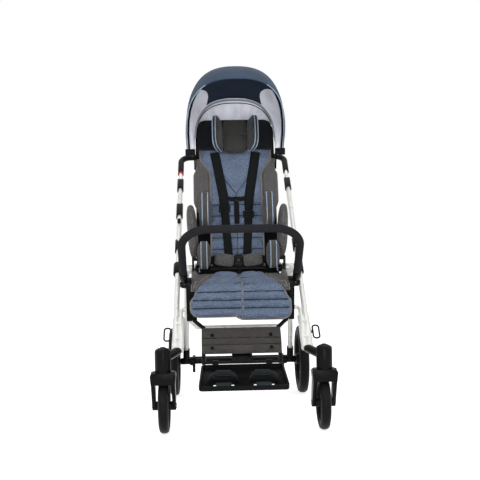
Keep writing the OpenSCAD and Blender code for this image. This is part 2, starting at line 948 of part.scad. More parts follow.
back_face = 20;
shell_y = back_face + back_thick;
shell_t = 12;
shell_foot = -8;
shell_round = 40;
slot_half = 9;
slot_drop = 110;
slot_low = back_h - slot_drop;
slot_top_room = 4;
slot_high = back_h - slot_top_room;
arm_lift = 36;
arm_eye_d = 30;
corner_square = 4;
boss_in = 10;
boss_share = 0.4;
module back_slot() {
    translate([-slot_half, 0, slot_low])
        cube([2 * slot_half, 2 * shell_y, slot_high - slot_low]);
}
module back_shell() {
    color(black_plastic)
        on_back() {
            difference() {
                translate([0, shell_y + shell_t, 0])
                    rotate([90, 0, 0])
                        linear_extrude(shell_t)
                            hull()
                                for (x = [-1, 1]) {
                                    translate([x * (back_half - shell_round), back_h - shell_round])
                                        circle(r = shell_round, $fn = 32);
                                    translate([x * back_half, shell_foot] + corner_square / 2 * [-x, 1])
                                        square(corner_square, center = true);
                                }
                back_slot();
            }
            pair()
                difference() {
                    x_plate(arm_in, arm_out)
                        link([0, 0], arm_eye_d / 2, [shell_y + shell_t / 2, arm_lift], shell_t / 2);
                    x_bar(arm_in - over, arm_out + over, [0, 0], pin_d / 2 + fit);
                }
            pair()
                x_bar(min(back_half - boss_in, arm_in), max(back_half - boss_in, arm_out),
                    [shell_y + shell_t / 2, arm_lift], boss_share * shell_t);
        }
}

cushion_foot = 12;
cushion_rows = 24;
curve_low = 400;
curve_high = 480;
back_crown = 12;
stitch_low = 105;
stitch_high = 408;
stitch_w = 14;
stitch_d = 7;
function cushion_half(z) =
    blend(waist_half, shoulder_half, ease((z - curve_low) / (curve_high - curve_low)));
function stitch(z) = max([for (c = [stitch_low, stitch_high]) exp(-pow((z - c) / stitch_w, 2))]);
function cushion_crown(s, t) = back_face + back_crown * (1 - crown(s) * sqrt(crown(t)));
function cushion_face(s, t, z) = cushion_crown(s, t) + stitch_d * stitch(z) * crown(s);
module back_cushion() {
    ts = span(0, 1, cushion_rows);
    ss = span(0, 1, 8);
    function z_at(t) = blend(cushion_foot, cushion_h, t);
    color(blue_cloth)
        on_back()
            padded(
                [for (t = ts) [for (s = ss)
                    [cushion_half(z_at(t)) * (2 * s - 1), cushion_face(s, t, z_at(t)), z_at(t)]]],
                [for (t = ts) [for (s = ss)
                    [cushion_half(z_at(t)) * (2 * s - 1), shell_y - gap, z_at(t)]]]);
}

// Grey wings of the back beside the cushion
wing_first = 14;
wing_last = 22;
wing_swell = 8;
module back_wings() {
    ts = span(0, 1, wing_last - wing_first);
    ss = span(0, 1, 4);
    function z_at(t) = blend(cushion_foot, cushion_h, blend(wing_first, wing_last, t) / cushion_rows);
    function x_at(s, t) = blend(cushion_half(z_at(t)) + gap, back_half, s);
    color(grey_cloth)
        on_back()
            pair()
                padded(
                    [for (t = ts) [for (s = ss)
                        [x_at(s, t), back_face + wing_swell * (1 - crown(s) * crown(t)), z_at(t)]]],
                    [for (t = ts) [for (s = ss) [x_at(s, t), shell_y - gap, z_at(t)]]]);
}

// Side guards stand forward from the edges of the shell
guard_low = 48;
guard_high = 252;
guard_reach = 78;
guard_t = 20;
guard_swell = 8;
guard_low_share = 0.2;
guard_high_share = 0.9;
module side_guards() {
    ts = span(0, 1, 8);
    ss = span(0, 1, 6);
    function front(t) = -guard_reach * crown(blend(guard_low_share, guard_high_share, t));
    function y_at(s, t) = blend(front(t), shell_y + shell_t, s);
    function z_at(t) = blend(guard_low, guard_high, t);
    function out(s, t) = guard_t / 2 + (guard_t / 2 + guard_swell) * crown(s) * crown(t);
    color(grey_cloth)
        on_back()
            pair()
                padded(
                    [for (t = ts) [for (s = ss) [back_half + gap, y_at(s, t), z_at(t)]]],
                    [for (t = ts) [for (s = ss) [back_half + gap + out(s, t), y_at(s, t), z_at(t)]]]);
}

upper_gap = 2;
upper_low = cushion_h + upper_gap;
upper_round_share = 0.4;
upper_round_power = 4;
upper_swell = 8;
upper_inset = 8;
module upper_back_pad() {
    ts = span(0, 1, 8);
    ss = span(0, 1, 10);
    function rounding(t) = pow(max(0, 1 - (1 - t) / upper_round_share), upper_round_power);
    function half(t) = back_half - upper_inset - shell_round * (1 - sqrt(1 - rounding(t)));
    function z_at(t) = blend(upper_low, back_h, t);
    color(rubber)
        on_back()
            difference() {
                padded(
                    [for (t = ts) [for (s = ss) [half(t) * (2 * s - 1),
                        back_face + upper_swell * (1 - crown(s) * crown(t)), z_at(t)]]],
                    [for (t = ts) [for (s = ss) [half(t) * (2 * s - 1), shell_y - gap, z_at(t)]]]);
                back_slot();
            }
}

// Lateral pads hold the trunk from both sides
lateral_in = waist_half + gap;
lateral_t = 38;
lateral_low = 165;
lateral_high = 292;
lateral_reach = 78;
lateral_swell = 8;
module lateral_pads() {
    color(dark_cloth)
        on_back()
            pair()
                translate([lateral_in, -lateral_reach, lateral_low])
                    block_cushion([lateral_t, lateral_reach + shell_y - gap, lateral_high - lateral_low],
                        lateral_swell);
}

// Shoulder straps run from the headrest to the buckle over the cushion
web_half = 19;
web_low_half = 16;
web_foot = 62;
web_top = 500;
web_foot_x = 36;
web_mid = 300;
web_mid_x = 50;
web_top_x = 83;
function web_x(z) = z < web_mid ? blend(web_foot_x, web_mid_x, (z - web_foot) / (web_mid - web_foot))
    : blend(web_mid_x, web_top_x, (z - web_mid) / (web_top - web_mid));
function web_w(z) = z < web_mid ? web_low_half : web_half;
module shoulder_straps() {
    zs = span(web_foot, web_top, 16);
    ss = [-1, 1];
    function face(x, z) = cushion_crown((x / cushion_half(z) + 1) / 2,
        (z - cushion_foot) / (cushion_h - cushion_foot));
    function lay(z) = face(web_x(z) - web_w(z), z) - 2 * gap;
    color(rubber)
        on_back()
            pair()
                padded(
                    [for (z = zs) [for (s = ss) [web_x(z) + s * web_w(z), lay(z) - web_t, z]]],
                    [for (z = zs) [for (s = ss) [web_x(z) + s * web_w(z), lay(z), z]]]);
}

// Canopy turns on studs beside the shoulders
hood_y = -3;
hood_drop = 160;
hood_z = back_h - hood_drop;
hood_at = [hood_y, hood_z];
bracket_t = 6;
hood_stud_d = 10;
collar_r = 14;
hood_room = 7.7;
bracket_in = max(back_half, shoulder_half) + gap;
rear_half = bracket_in + bracket_t + hood_room;
rear_in = rear_half - cloth_t;
eye_gap = 2;
eye_x0 = rear_half + eye_gap;
bow_r = 4;
cloth_gap = 2.5;
draw_share = 0.05;
bow_room = cloth_t + cloth_gap + bow_r;
front_half = max(hood_half, (eye_x0 + bow_r) / (1 - draw_share) + bow_room);
bow_half = front_half - bow_room;
eye_x1 = front_half - cloth_t;
module canopy_brackets() {
    color(black_plastic)
        on_back()
            pair() {
                x_plate(bracket_in, bracket_in + bracket_t) {
                    link([shell_y, hood_at.y - shell_round], shell_t, hood_at, collar_r);
                }
                x_bar(bracket_in + bracket_t, eye_x0 - gap, hood_at, collar_r - gap);
                x_bar(eye_x0 - gap, eye_x1, hood_at, hood_stud_d / 2);
            }
}

// Point of the canopy at a lean from the back plane (forward is positive), along its arch
hood_power = 2.7;
hood_rise_power = 0.7;
front_lean = 72;
join_lean = 27;
function hood_r(lean) = blend(hood_back_r, hood_front_r, pow(max(0, lean) / front_lean, hood_rise_power));
function drawn_in(a) = 1 - draw_share * pow(1 - abs(sin(a)), 2);
function arch(a, half, r) = [half * drawn_in(a) * sign(cos(a)) * pow(abs(cos(a)), 2 / hood_power),
    r * pow(abs(sin(a)), 2 / hood_power)];
function arch_start(r) = asin(pow((collar_r + gap) / r, hood_power / 2));
function hood_point(lean, t, half, r) =
    let (a0 = arch_start(r), p = arch(blend(180 - a0, a0, t), half, r))
        [p.x, hood_at.x - p.y * sin(lean), hood_at.y + p.y * cos(lean)];
hood_turns = span(0, 1, 20);
function hood_row(lean, half, r) = [for (t = hood_turns) hood_point(lean, t, half, r)];
hood_step = 8;
hood_lap = 5;
// Edge of the rear cloth along the outline of the back shell
edge_power = 12;
edge_gap = 1;
curtain_shares = [1, 0.66, 0.33];
edge_rise = back_h - hood_at.y;
function edge_row(grow) = [for (t = hood_turns)
    let (a0 = arch_start(hood_back_r), a = blend(180 - a0, a0, t))
        [(back_half + edge_gap + grow) * sign(cos(a)) * pow(abs(cos(a)), 2 / edge_power),
            shell_y + shell_t / 2,
            hood_at.y + (edge_rise + edge_gap + grow) * pow(abs(sin(a)), 2 / edge_power)]];
function mix_row(a, b, t) = [for (i = [0 : len(a) - 1]) blend(a[i], b[i], t)];
// The rear cloth widens towards the front above its studs, inside the bow that folds back over it
flare_rise = 90;
flare_share = (bow_half - bow_r - cloth_gap) / rear_half - 1;
function flared(lean, p) =
    let (rise = norm([p.y - hood_y, p.z - hood_z]) - collar_r)
        [p.x * (1 + flare_share * ease(lean / join_lean) * ease(rise / flare_rise)), p.y, p.z];
function rear_row(lean, half, r) = [for (p = hood_row(lean, half, r)) flared(lean, p)];
module canopy_rear() {
    leans = span(0, join_lean + hood_lap, 5);
    function cloth(half, r, grow) = concat(
        [for (d = curtain_shares) mix_row(hood_row(0, half, hood_back_r + r), edge_row(grow), d)],
        [for (l = leans) rear_row(l, half, hood_r(l) + r)]);
    color(navy_cloth)
        on_back()
            padded(cloth(rear_half, 0, cloth_t), cloth(rear_in, -cloth_t, 0));
}
module canopy_front() {
    leans = span(join_lean, front_lean, 8);
    lift = hood_step + cloth_t;
    color(navy_cloth)
        on_back()
            padded([for (l = leans) hood_row(l, front_half, hood_r(l) + lift)],
                [for (l = leans) hood_row(l, front_half - cloth_t, hood_r(l) + lift - cloth_t)]);
}

// Front bow: an eye on each stud and a round rod under the front cloth
bow_lean = 66;
bow_root_share = 0.7;
module canopy_bow() {
    r = hood_r(bow_lean) + hood_step - bow_r - cloth_gap;
    arc = hood_row(bow_lean, bow_half, r);
    function root(p) = blend([p.x, hood_y, hood_z], p, bow_root_share);
    pts = concat([root(arc[0])], arc, [root(arc[len(arc) - 1])]);
    normal = [0, cos(bow_lean), sin(bow_lean)];
    sides = 6;
    function run(i) = unit(pts[min(i + 1, len(pts) - 1)] - pts[max(i - 1, 0)]);
    rings = [for (i = [0 : len(pts) - 1])
        let (out = cross(run(i), normal))
            each [for (k = [0 : sides - 1])
                pts[i] + bow_r * (cos(k * 360 / sides) * out + sin(k * 360 / sides) * normal)]];
    n = len(pts);
    color(black_plastic)
        on_back() {
            polyhedron(points = rings,
                faces = concat(
                    [for (i = [0 : n - 2], k = [0 : sides - 1])
                        let (a = i * sides + k, b = i * sides + (k + 1) % sides)
                            each [[a, b, a + sides], [b, b + sides, a + sides]]],
                    [for (k = [1 : sides - 2]) [0, k + 1, k]],
                    [for (k = [1 : sides - 2])
                        [(n - 1) * sides, (n - 1) * sides + k, (n - 1) * sides + k + 1]]));
            pair()
                difference() {
                    x_bar(eye_x0, eye_x1 - gap, hood_at, collar_r);
                    x_bar(eye_x0 - over, eye_x1 + over, hood_at, hood_stud_d / 2 + fit);
                }
        }
}

// Headrest slides on a post through the slot of the backrest
head_drop = 162;
head_low = back_h - head_drop;
head_h = 142;
head_half = 50;
head_t = 40;
head_gap = 8;
head_back = back_face - head_gap;
head_swell = 8;
ear_reach = 82;
ear_out = 97;
ear_t = 24;
ear_drop = 8;
module headrest_pads() {
    ts = span(0, 1, cushion_steps);
    ss = span(0, 1, cushion_steps);
    function mid(s) = [
        blend(head_half + ear_t / 4 + gap, ear_out - ear_t / 2, s), blend(head_back, -ear_reach, s)];
    side = unit([ear_reach + head_back, ear_out - head_half - ear_t]);
    function half(s, t) = ear_t / 4 + ear_t / 4 * crown(s) * crown(t);
    function z_at(s, t) = blend(head_low, head_low + head_h - ear_drop * s, t);
    color(dark_cloth)
        on_back() {
            translate([-head_half, head_back - head_t + head_swell, head_low])
                block_cushion([2 * head_half, head_t - head_swell, head_h], head_swell);
            pair()
                padded(
                    [for (t = ts) [for (s = ss)
                        let (p = mid(s) - side * half(s, t)) [p.x, p.y, z_at(s, t)]]],
                    [for (t = ts) [for (s = ss)
                        let (p = mid(s) + side * half(s, t)) [p.x, p.y, z_at(s, t)]]]);
        }
}
tongue_h = 24;
tongue_drop = 76;
tongue_z = back_h - tongue_drop;
post_w = 40;
post_t = 5;
post_low_drop = 150;
post_high_drop = 10;
post_low = back_h - post_low_drop;
post_high = back_h - post_high_drop;
module headrest_post() {
    color(steel)
        on_back() {
            translate([-slot_half + gap, head_back, tongue_z])
                cube([2 * (slot_half - gap), shell_y + shell_t - head_back + gap, tongue_h]);
            translate([-post_w / 2, shell_y + shell_t + gap, post_low])
                cube([post_w, post_t, post_high - post_low]);
        }
}

// Front bar turns on the studs of the side plates
bar_bend = 95;
lug_d = 29;
sleeve_d = 31;
bar_sleeve_low = 34;
bar_sleeve_len = 34;
module on_bar() {
    translate([0, plate_top.x, plate_top.y])
        rotate([-bar_rise, 0, 0])
            children();
}
function bar_route(low) = [[-bar_x, -low, 0], [-bar_x, -bar_reach, 0],
    [bar_x, -bar_reach, 0], [bar_x, -low, 0]];
module front_bar() {
    color(black_plastic)
        on_bar()
            difference() {
                union() {
                    bent_tube(bar_route(lug_d / 4), bar_bend, bar_tube_d / 2);
                    pair() {
                        x_bar(plate_out + gap, lug_end, [0, 0], lug_d / 2);
                        rod([bar_x, -bar_sleeve_low, 0], [bar_x, -bar_sleeve_low - bar_sleeve_len, 0],
                            sleeve_d / 2);
                    }
                }
                pair()
                    x_bar(plate_out - over, lug_end + over, [0, 0], stud_d / 2 + fit);
            }
}
module bar_foam() {
    low = bar_sleeve_low + bar_sleeve_len + gap;
    color(rubber)
        on_bar()
            difference() {
                bent_tube(bar_route(low), bar_bend, bar_foam_d / 2);
                bent_tube(bar_route(low - over), bar_bend, bar_tube_d / 2 + fit);
            }
}

// Legrest hangs from the side plates
module on_leg() {
    translate([0, leg_hinge.x, leg_hinge.y])
        rotate([-leg_lean, 0, 0])
            children();
}
leg_tube_d = 14;
hanger_x = plate_in - gap - knuckle_w / 2;
hanger_in = 136;
hanger_top = 16;
hanger_low = 46;
knuckle_r = 13;
foot_pin_d = 9;
tab_half = 36;
tab_t = 6;
tab_len = 34;
module legrest_frame() {
    color(black_plastic)
        on_leg()
            difference() {
                union() {
                    pair() {
                        x_bar(plate_in - knuckle_w - gap, plate_in - gap, [0, 0], knuckle_r);
                        jointed_tube([[hanger_x, 0, 0], [hanger_x, 0, -hanger_top],
                            [hanger_in, 0, -hanger_low], [hanger_in, 0, -leg_len - foot_pin_d / 2]],
                            leg_tube_d / 2);
                    }
                    x_bar(-hanger_in, hanger_in, [0, -leg_len], foot_pin_d / 2);
                    translate([-tab_half, -tab_t / 2, -leg_len])
                        cube([2 * tab_half, tab_t, tab_len]);
                }
                pair()
                    x_bar(plate_in - knuckle_w - over, plate_in, [0, 0], leg_pin_d / 2 + fit);
            }
}

calf_top = 52;
calf_len = 106;
calf_t = 14;
calf_puff = 8;
calf_channels = 3;
module calf_pad() {
    ts = span(0, 1, calf_channels * 4);
    ss = span(0, 1, 8);
    y0 = -leg_tube_d / 2 - gap;
    function z_at(t) = -calf_top - calf_len * t;
    function half(t) = calf_half - calf_puff * (1 - crown(t)) * edge_pull_share;
    color(dark_cloth)
        on_leg()
            padded(
                [for (t = ts) [for (s = ss) [half(t) * (2 * s - 1),
                    y0 - calf_t + calf_puff * (1 - crown(s) * puff(t, calf_channels)), z_at(t)]]],
                [for (t = ts) [for (s = ss) [half(t) * (2 * s - 1), y0, z_at(t)]]]);
}

// Footplate turns on the cross bar of the legrest
foot_at = leg_hinge + leg_len * [-sin(leg_lean), -cos(leg_lean)];
module on_foot() {
    translate([0, foot_at.x, foot_at.y])
        rotate([foot_slope, 0, 0])
            children();
}
foot_rear_half = 145;
foot_t = 16;
foot_floor = 6;
foot_rim = 7;
foot_round = 14;
foot_start = 9;
foot_knuckle_w = 22;
foot_knuckle_x = 84;
foot_drop = -2;
slot_x = 68;
slot_len = 70;
slot_rear = 40;
slot_rear_w = 12;
slot_mid = 72;
slot_mid_w = 9;
slot_front = 136;
slot_front_w = 20;
slots = [[slot_rear, slot_rear_w], [slot_mid, slot_mid_w], [slot_front, slot_front_w]];
module foot_outline(inset) {
    r = foot_round - inset / 2;
    hull()
        for (x = [-1, 1]) {
            translate([x * (foot_rear_half - inset - r), -foot_start - inset - r]) circle(r = r, $fn = 32);
            translate([x * (foot_half - inset - r), -foot_len + inset + r]) circle(r = r, $fn = 32);
        }
}
module footplate() {
    color(black_plastic)
        on_foot()
            difference() {
                union() {
                    translate([0, 0, foot_drop - foot_t])
                        linear_extrude(foot_t)
                            foot_outline(0);
                    pair()
                        x_plate(foot_knuckle_x, foot_knuckle_x + foot_knuckle_w)
                            link([0, 0], foot_pin_d, [-foot_round, foot_drop - foot_t / 2], foot_t / 2);
                }
                translate([0, 0, foot_drop - foot_t + foot_floor])
                    linear_extrude(foot_t)
                        foot_outline(foot_rim);
                pair()
                    for (row = slots)
                        translate([slot_x - slot_len / 2, -row.x - row.y, foot_drop - foot_t - over])
                            cube([slot_len, row.y, foot_t]);
                x_bar(-foot_half, foot_half, [0, 0], foot_pin_d / 2 + fit);
            }
}
foot_strap_w = 32;
foot_strap_in = 22;
foot_strap_out = 118;
foot_strap_rise = 27;
foot_strap_share = 0.55;
module foot_straps() {
    ts = span(0, 1, 10);
    y = -foot_len * foot_strap_share;
    z0 = foot_drop - foot_t + foot_floor + gap;
    function z_at(t) = z0 + foot_strap_rise * crown(t);
    function x_at(t) = blend(foot_strap_in, foot_strap_out, t);
    color(rubber)
        on_foot()
            pair()
                padded(
                    [for (t = ts) [for (s = [0, 1]) [x_at(t), y - s * foot_strap_w, z_at(t) + web_t]]],
                    [for (t = ts) [for (s = [0, 1]) [x_at(t), y - s * foot_strap_w, z_at(t)]]]);
}

frame_tubes();
leg_sleeves();
caster_arms();
pivot_brackets();
pivot_pins();
side_plates();
seat_rails();
seat_tray();
seat_base();
thigh_pad_left();
thigh_pad_right();
seat_bolsters();
hip_pads();
lap_belt();
crotch_strap();
buckle_body();
buckle_button();
tie_loops();
tube_clips();
push_handle();
handle_grip();
lock_ring();
rear_legs();
axle_blocks();
rear_axle();
brake_pedal();
rear_rim_left();
rear_tyre_left();
rear_rim_right();
rear_tyre_right();
caster_fork_left();
caster_axle_left();
caster_rim_left();
caster_tyre_left();
caster_fork_right();
caster_axle_right();
caster_rim_right();
caster_tyre_right();
back_shell();
back_cushion();
back_wings();
side_guards();
upper_back_pad();
lateral_pads();
shoulder_straps();
canopy_brackets();
canopy_rear();
headrest_pads();
headrest_post();
canopy_front();
canopy_bow();
front_bar();
bar_foam();
legrest_frame();
calf_pad();
footplate();
foot_straps();
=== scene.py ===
import json
import math

import bpy
import numpy as np
from mathutils import Matrix, Vector, noise
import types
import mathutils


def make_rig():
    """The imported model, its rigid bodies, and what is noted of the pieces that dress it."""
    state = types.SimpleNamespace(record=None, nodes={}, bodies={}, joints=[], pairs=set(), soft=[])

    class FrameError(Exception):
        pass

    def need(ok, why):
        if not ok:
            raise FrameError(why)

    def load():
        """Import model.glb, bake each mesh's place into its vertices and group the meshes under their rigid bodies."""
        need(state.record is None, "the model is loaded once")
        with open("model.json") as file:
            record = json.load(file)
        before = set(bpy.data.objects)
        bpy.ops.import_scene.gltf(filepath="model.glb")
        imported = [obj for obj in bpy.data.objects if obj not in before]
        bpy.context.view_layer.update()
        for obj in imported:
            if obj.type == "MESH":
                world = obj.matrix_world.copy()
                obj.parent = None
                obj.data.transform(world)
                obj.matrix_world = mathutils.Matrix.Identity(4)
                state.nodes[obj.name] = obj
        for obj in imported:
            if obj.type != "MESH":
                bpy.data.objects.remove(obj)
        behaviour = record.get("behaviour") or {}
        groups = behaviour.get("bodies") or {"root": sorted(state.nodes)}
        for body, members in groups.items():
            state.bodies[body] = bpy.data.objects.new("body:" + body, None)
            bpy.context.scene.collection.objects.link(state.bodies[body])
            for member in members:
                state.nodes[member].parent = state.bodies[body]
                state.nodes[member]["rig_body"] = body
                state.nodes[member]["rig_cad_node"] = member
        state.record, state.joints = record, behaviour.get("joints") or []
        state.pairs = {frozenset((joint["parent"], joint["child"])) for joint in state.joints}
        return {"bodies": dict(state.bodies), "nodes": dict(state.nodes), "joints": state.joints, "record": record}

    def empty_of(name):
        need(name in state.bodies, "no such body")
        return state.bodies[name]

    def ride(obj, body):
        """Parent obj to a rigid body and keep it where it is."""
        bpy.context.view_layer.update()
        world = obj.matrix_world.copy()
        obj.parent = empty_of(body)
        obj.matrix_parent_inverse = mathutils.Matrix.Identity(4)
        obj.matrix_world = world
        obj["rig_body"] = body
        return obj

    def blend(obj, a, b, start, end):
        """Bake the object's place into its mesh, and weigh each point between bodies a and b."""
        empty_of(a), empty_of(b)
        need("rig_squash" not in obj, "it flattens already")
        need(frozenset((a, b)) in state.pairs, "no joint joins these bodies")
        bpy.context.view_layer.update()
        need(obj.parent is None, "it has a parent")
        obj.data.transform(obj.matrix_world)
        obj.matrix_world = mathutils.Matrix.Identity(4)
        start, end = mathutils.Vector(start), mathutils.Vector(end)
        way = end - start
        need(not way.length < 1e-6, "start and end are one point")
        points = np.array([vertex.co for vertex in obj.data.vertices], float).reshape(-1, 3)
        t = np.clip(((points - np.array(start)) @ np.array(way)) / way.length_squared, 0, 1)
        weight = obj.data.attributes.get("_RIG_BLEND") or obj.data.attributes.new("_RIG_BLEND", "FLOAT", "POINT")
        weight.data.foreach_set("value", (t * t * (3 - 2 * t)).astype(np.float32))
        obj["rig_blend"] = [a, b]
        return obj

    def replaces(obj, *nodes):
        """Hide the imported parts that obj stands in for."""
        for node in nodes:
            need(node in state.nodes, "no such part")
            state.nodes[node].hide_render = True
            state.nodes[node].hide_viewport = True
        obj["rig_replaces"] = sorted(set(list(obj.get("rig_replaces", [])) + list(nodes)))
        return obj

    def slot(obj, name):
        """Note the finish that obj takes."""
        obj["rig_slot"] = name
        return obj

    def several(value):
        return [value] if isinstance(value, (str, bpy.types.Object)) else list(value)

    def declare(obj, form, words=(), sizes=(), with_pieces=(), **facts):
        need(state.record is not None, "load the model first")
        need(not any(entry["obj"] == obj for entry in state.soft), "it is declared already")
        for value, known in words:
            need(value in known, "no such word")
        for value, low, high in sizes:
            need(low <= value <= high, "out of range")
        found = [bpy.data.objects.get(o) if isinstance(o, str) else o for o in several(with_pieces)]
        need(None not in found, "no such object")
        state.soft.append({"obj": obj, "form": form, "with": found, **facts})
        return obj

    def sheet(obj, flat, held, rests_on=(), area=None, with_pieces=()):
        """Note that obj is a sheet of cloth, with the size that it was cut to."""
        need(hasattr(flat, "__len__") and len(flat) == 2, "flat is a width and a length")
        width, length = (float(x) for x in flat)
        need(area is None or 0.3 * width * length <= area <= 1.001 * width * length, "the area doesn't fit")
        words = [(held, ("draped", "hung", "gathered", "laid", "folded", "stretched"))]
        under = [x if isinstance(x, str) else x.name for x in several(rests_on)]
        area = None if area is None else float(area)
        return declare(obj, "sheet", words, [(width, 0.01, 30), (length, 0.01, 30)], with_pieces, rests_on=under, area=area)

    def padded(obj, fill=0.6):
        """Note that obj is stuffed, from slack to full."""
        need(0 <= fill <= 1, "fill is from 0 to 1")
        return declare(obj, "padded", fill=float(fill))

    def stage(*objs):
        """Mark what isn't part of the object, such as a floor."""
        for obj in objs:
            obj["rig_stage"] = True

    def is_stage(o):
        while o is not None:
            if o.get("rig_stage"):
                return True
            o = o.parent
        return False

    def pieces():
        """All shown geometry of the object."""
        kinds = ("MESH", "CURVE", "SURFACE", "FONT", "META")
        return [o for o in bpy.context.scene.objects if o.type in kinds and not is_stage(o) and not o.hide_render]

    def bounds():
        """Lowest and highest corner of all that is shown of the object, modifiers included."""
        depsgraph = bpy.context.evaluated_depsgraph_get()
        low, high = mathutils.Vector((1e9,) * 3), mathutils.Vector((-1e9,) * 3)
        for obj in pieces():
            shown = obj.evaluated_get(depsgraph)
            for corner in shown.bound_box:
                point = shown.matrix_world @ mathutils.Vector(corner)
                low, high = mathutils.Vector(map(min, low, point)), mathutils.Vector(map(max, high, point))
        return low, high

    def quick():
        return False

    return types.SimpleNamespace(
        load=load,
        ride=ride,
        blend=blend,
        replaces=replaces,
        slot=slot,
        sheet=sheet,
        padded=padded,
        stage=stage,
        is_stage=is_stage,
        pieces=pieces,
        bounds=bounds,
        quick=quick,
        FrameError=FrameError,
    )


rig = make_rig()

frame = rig.load()
cad_low, cad_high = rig.bounds()
bpy.context.scene.view_settings.view_transform = "Standard"

RECORD = frame["record"]
BODY = {n: b for b, ns in RECORD["behaviour"]["bodies"].items() for n in ns}
SLOT = {p["node"]: p["material_slot"] for p in RECORD["subparts"]}
MM = 0.001
sin, cos, pi = math.sin, math.cos, math.pi
rad = math.radians


# Camera: a front view from the left of the middle, slightly above the seat
camera = bpy.data.objects.new("photo_camera", bpy.data.cameras.new("photo_camera"))
bpy.context.collection.objects.link(camera)
camera.data.sensor_width = 36
camera.data.lens = 63.75
camera.data.clip_end = 50
CAMERA_AT = Vector((-0.0945, -3.324, 0.716))
TURN, PITCH, ROLL = rad(-1.8), rad(90 - 1.35), rad(-1.0)
camera.matrix_world = (
    Matrix.Translation(CAMERA_AT)
    @ Matrix.Rotation(TURN, 4, "Z")
    @ Matrix.Rotation(PITCH, 4, "X")
    @ Matrix.Rotation(ROLL, 4, "Z")
)
bpy.context.scene.camera = camera


# Places of the buggy's own parts, in millimetres, as in the part's source
PIVOT_Y, PIVOT_Z = -74.0, 530.0
BACK_LEAN = rad(20.7)
LEG_LEAN = rad(37)
LEG_HINGE = (-224.0, 364.0)
LEG_LEN = 188.0
FOOT_SLOPE = rad(16)
FOOT_AT = (LEG_HINGE[0] - LEG_LEN * sin(LEG_LEAN), LEG_HINGE[1] - LEG_LEN * cos(LEG_LEAN))
MAIN_SLOPE = rad(37.9)
MAIN_X = 232.0
PLATE_TOP = (-240.0, 486.0)
SIDES = ((1, "right"), (-1, "left"))


def axes(at, turn):
    """Places on a part that leans by turn, in millimetres from at, as points of the shared frame."""
    c, s = cos(turn), sin(turn)

    def place(x, y, z):
        return Vector((x, at[0] + c * y + s * z, at[1] - s * y + c * z)) * MM

    return place


on_back = axes((PIVOT_Y, PIVOT_Z), BACK_LEAN)
on_leg = axes(LEG_HINGE, LEG_LEAN)
on_foot = axes(FOOT_AT, -FOOT_SLOPE)
on_tube = axes((PIVOT_Y, PIVOT_Z), pi / 2 - MAIN_SLOPE)


def lerp(a, b, t):
    return a + (b - a) * t


def span(a, b, n):
    return [a + (b - a) * i / n for i in range(n + 1)]


def edge_span(n):
    """Shares from 0 to 1, closer together at both ends."""
    return [(1 - cos(pi * i / n)) / 2 for i in range(n + 1)]


def crown(t, power=3.0):
    """Rise of a filled section at t: 0 at both ends, 1 in the middle."""
    return math.sqrt(max(0.0, 1 - abs(2 * t - 1) ** power))


def ease(t):
    """Smooth step from 0 to 1."""
    c = max(0.0, min(1.0, t))
    return c * c * (3 - 2 * c)


def channel(t, seams):
    """Rise of a quilted channel at t: 0 on the seams, 1 half way between two of them."""
    for a, b in zip(seams, seams[1:]):
        if t <= b:
            return max(0.0, sin(pi * (t - a) / (b - a)))
    return 0.0


def rounded(w, half_u, half_v, power):
    """Point at turn w of a rounded rectangle; a higher power is squarer."""
    c, s = cos(w), sin(w)
    return (half_u * math.copysign(abs(c) ** (2 / power), c),
            half_v * math.copysign(abs(s) ** (2 / power), s))


# Shader helpers, and the groups that the materials share
def feed(tree, n, sockets):
    """Each input of a node is linked to a socket or set to a value."""
    for k, v in sockets.items():
        if isinstance(v, bpy.types.NodeSocket):
            tree.links.new(v, n.inputs[k])
        else:
            n.inputs[k].default_value = v


def node(tree, kind, sockets, **attrs):
    n = tree.nodes.new(kind)
    for k, v in attrs.items():
        setattr(n, k, v)
    feed(tree, n, sockets)
    return n


def maths(tree, operation, *values):
    return node(tree, "ShaderNodeMath", dict(enumerate(values)), operation=operation).outputs[0]


def ranged(tree, value, low, high, to_low=0.0, to_high=1.0):
    """A value from low to high, turned to one from to_low to to_high."""
    return node(tree, "ShaderNodeMapRange", {"Value": value, "From Min": low, "From Max": high,
                                             "To Min": to_low, "To Max": to_high}).outputs["Result"]


def patches(tree, vector, scale, detail, roughness=0.5):
    return node(tree, "ShaderNodeTexNoise", {"Vector": vector, "Scale": scale, "Detail": detail,
                                             "Roughness": roughness}).outputs["Fac"]


def mix_colour(tree, share, first, second):
    """Colour between two others; sockets or plain colours."""
    return node(tree, "ShaderNodeMix", {0: share, 6: first, 7: second}, data_type="RGBA").outputs[2]


def shader_group(name, inputs, outputs):
    g = bpy.data.node_groups.new(name, "ShaderNodeTree")
    for way, sockets in (("INPUT", inputs), ("OUTPUT", outputs)):
        for label, kind in sockets:
            g.interface.new_socket(name=label, in_out=way, socket_type=kind)
    return g, g.nodes.new("NodeGroupInput"), g.nodes.new("NodeGroupOutput")


FLOAT, COLOUR, VECTOR = "NodeSocketFloat", "NodeSocketColor", "NodeSocketVector"


def melange_group():
    """Yarn colours mixed in flecks, with slow tone changes over the cloth."""
    g, i, o = shader_group(
        "melange_yarn",
        [("Vector", VECTOR), ("Base", COLOUR), ("Dark", COLOUR), ("Light", COLOUR), ("Fleck", FLOAT),
         ("Amount", FLOAT)],
        [("Color", COLOUR)])
    given = i.outputs
    flecks = ranged(g, patches(g, given["Vector"], given["Fleck"], 2.0, 0.7), 0.38, 0.62)
    near = mix_colour(g, given["Amount"], given["Base"], mix_colour(g, flecks, given["Dark"], given["Light"]))
    tone = ranged(g, patches(g, given["Vector"], 14.0, 3.0), 0.3, 0.7, 0.86, 1.1)
    shade = node(g, "ShaderNodeVectorMath", {0: near, "Scale": tone}, operation="SCALE")
    feed(g, o, {"Color": shade.outputs["Vector"]})
    return g


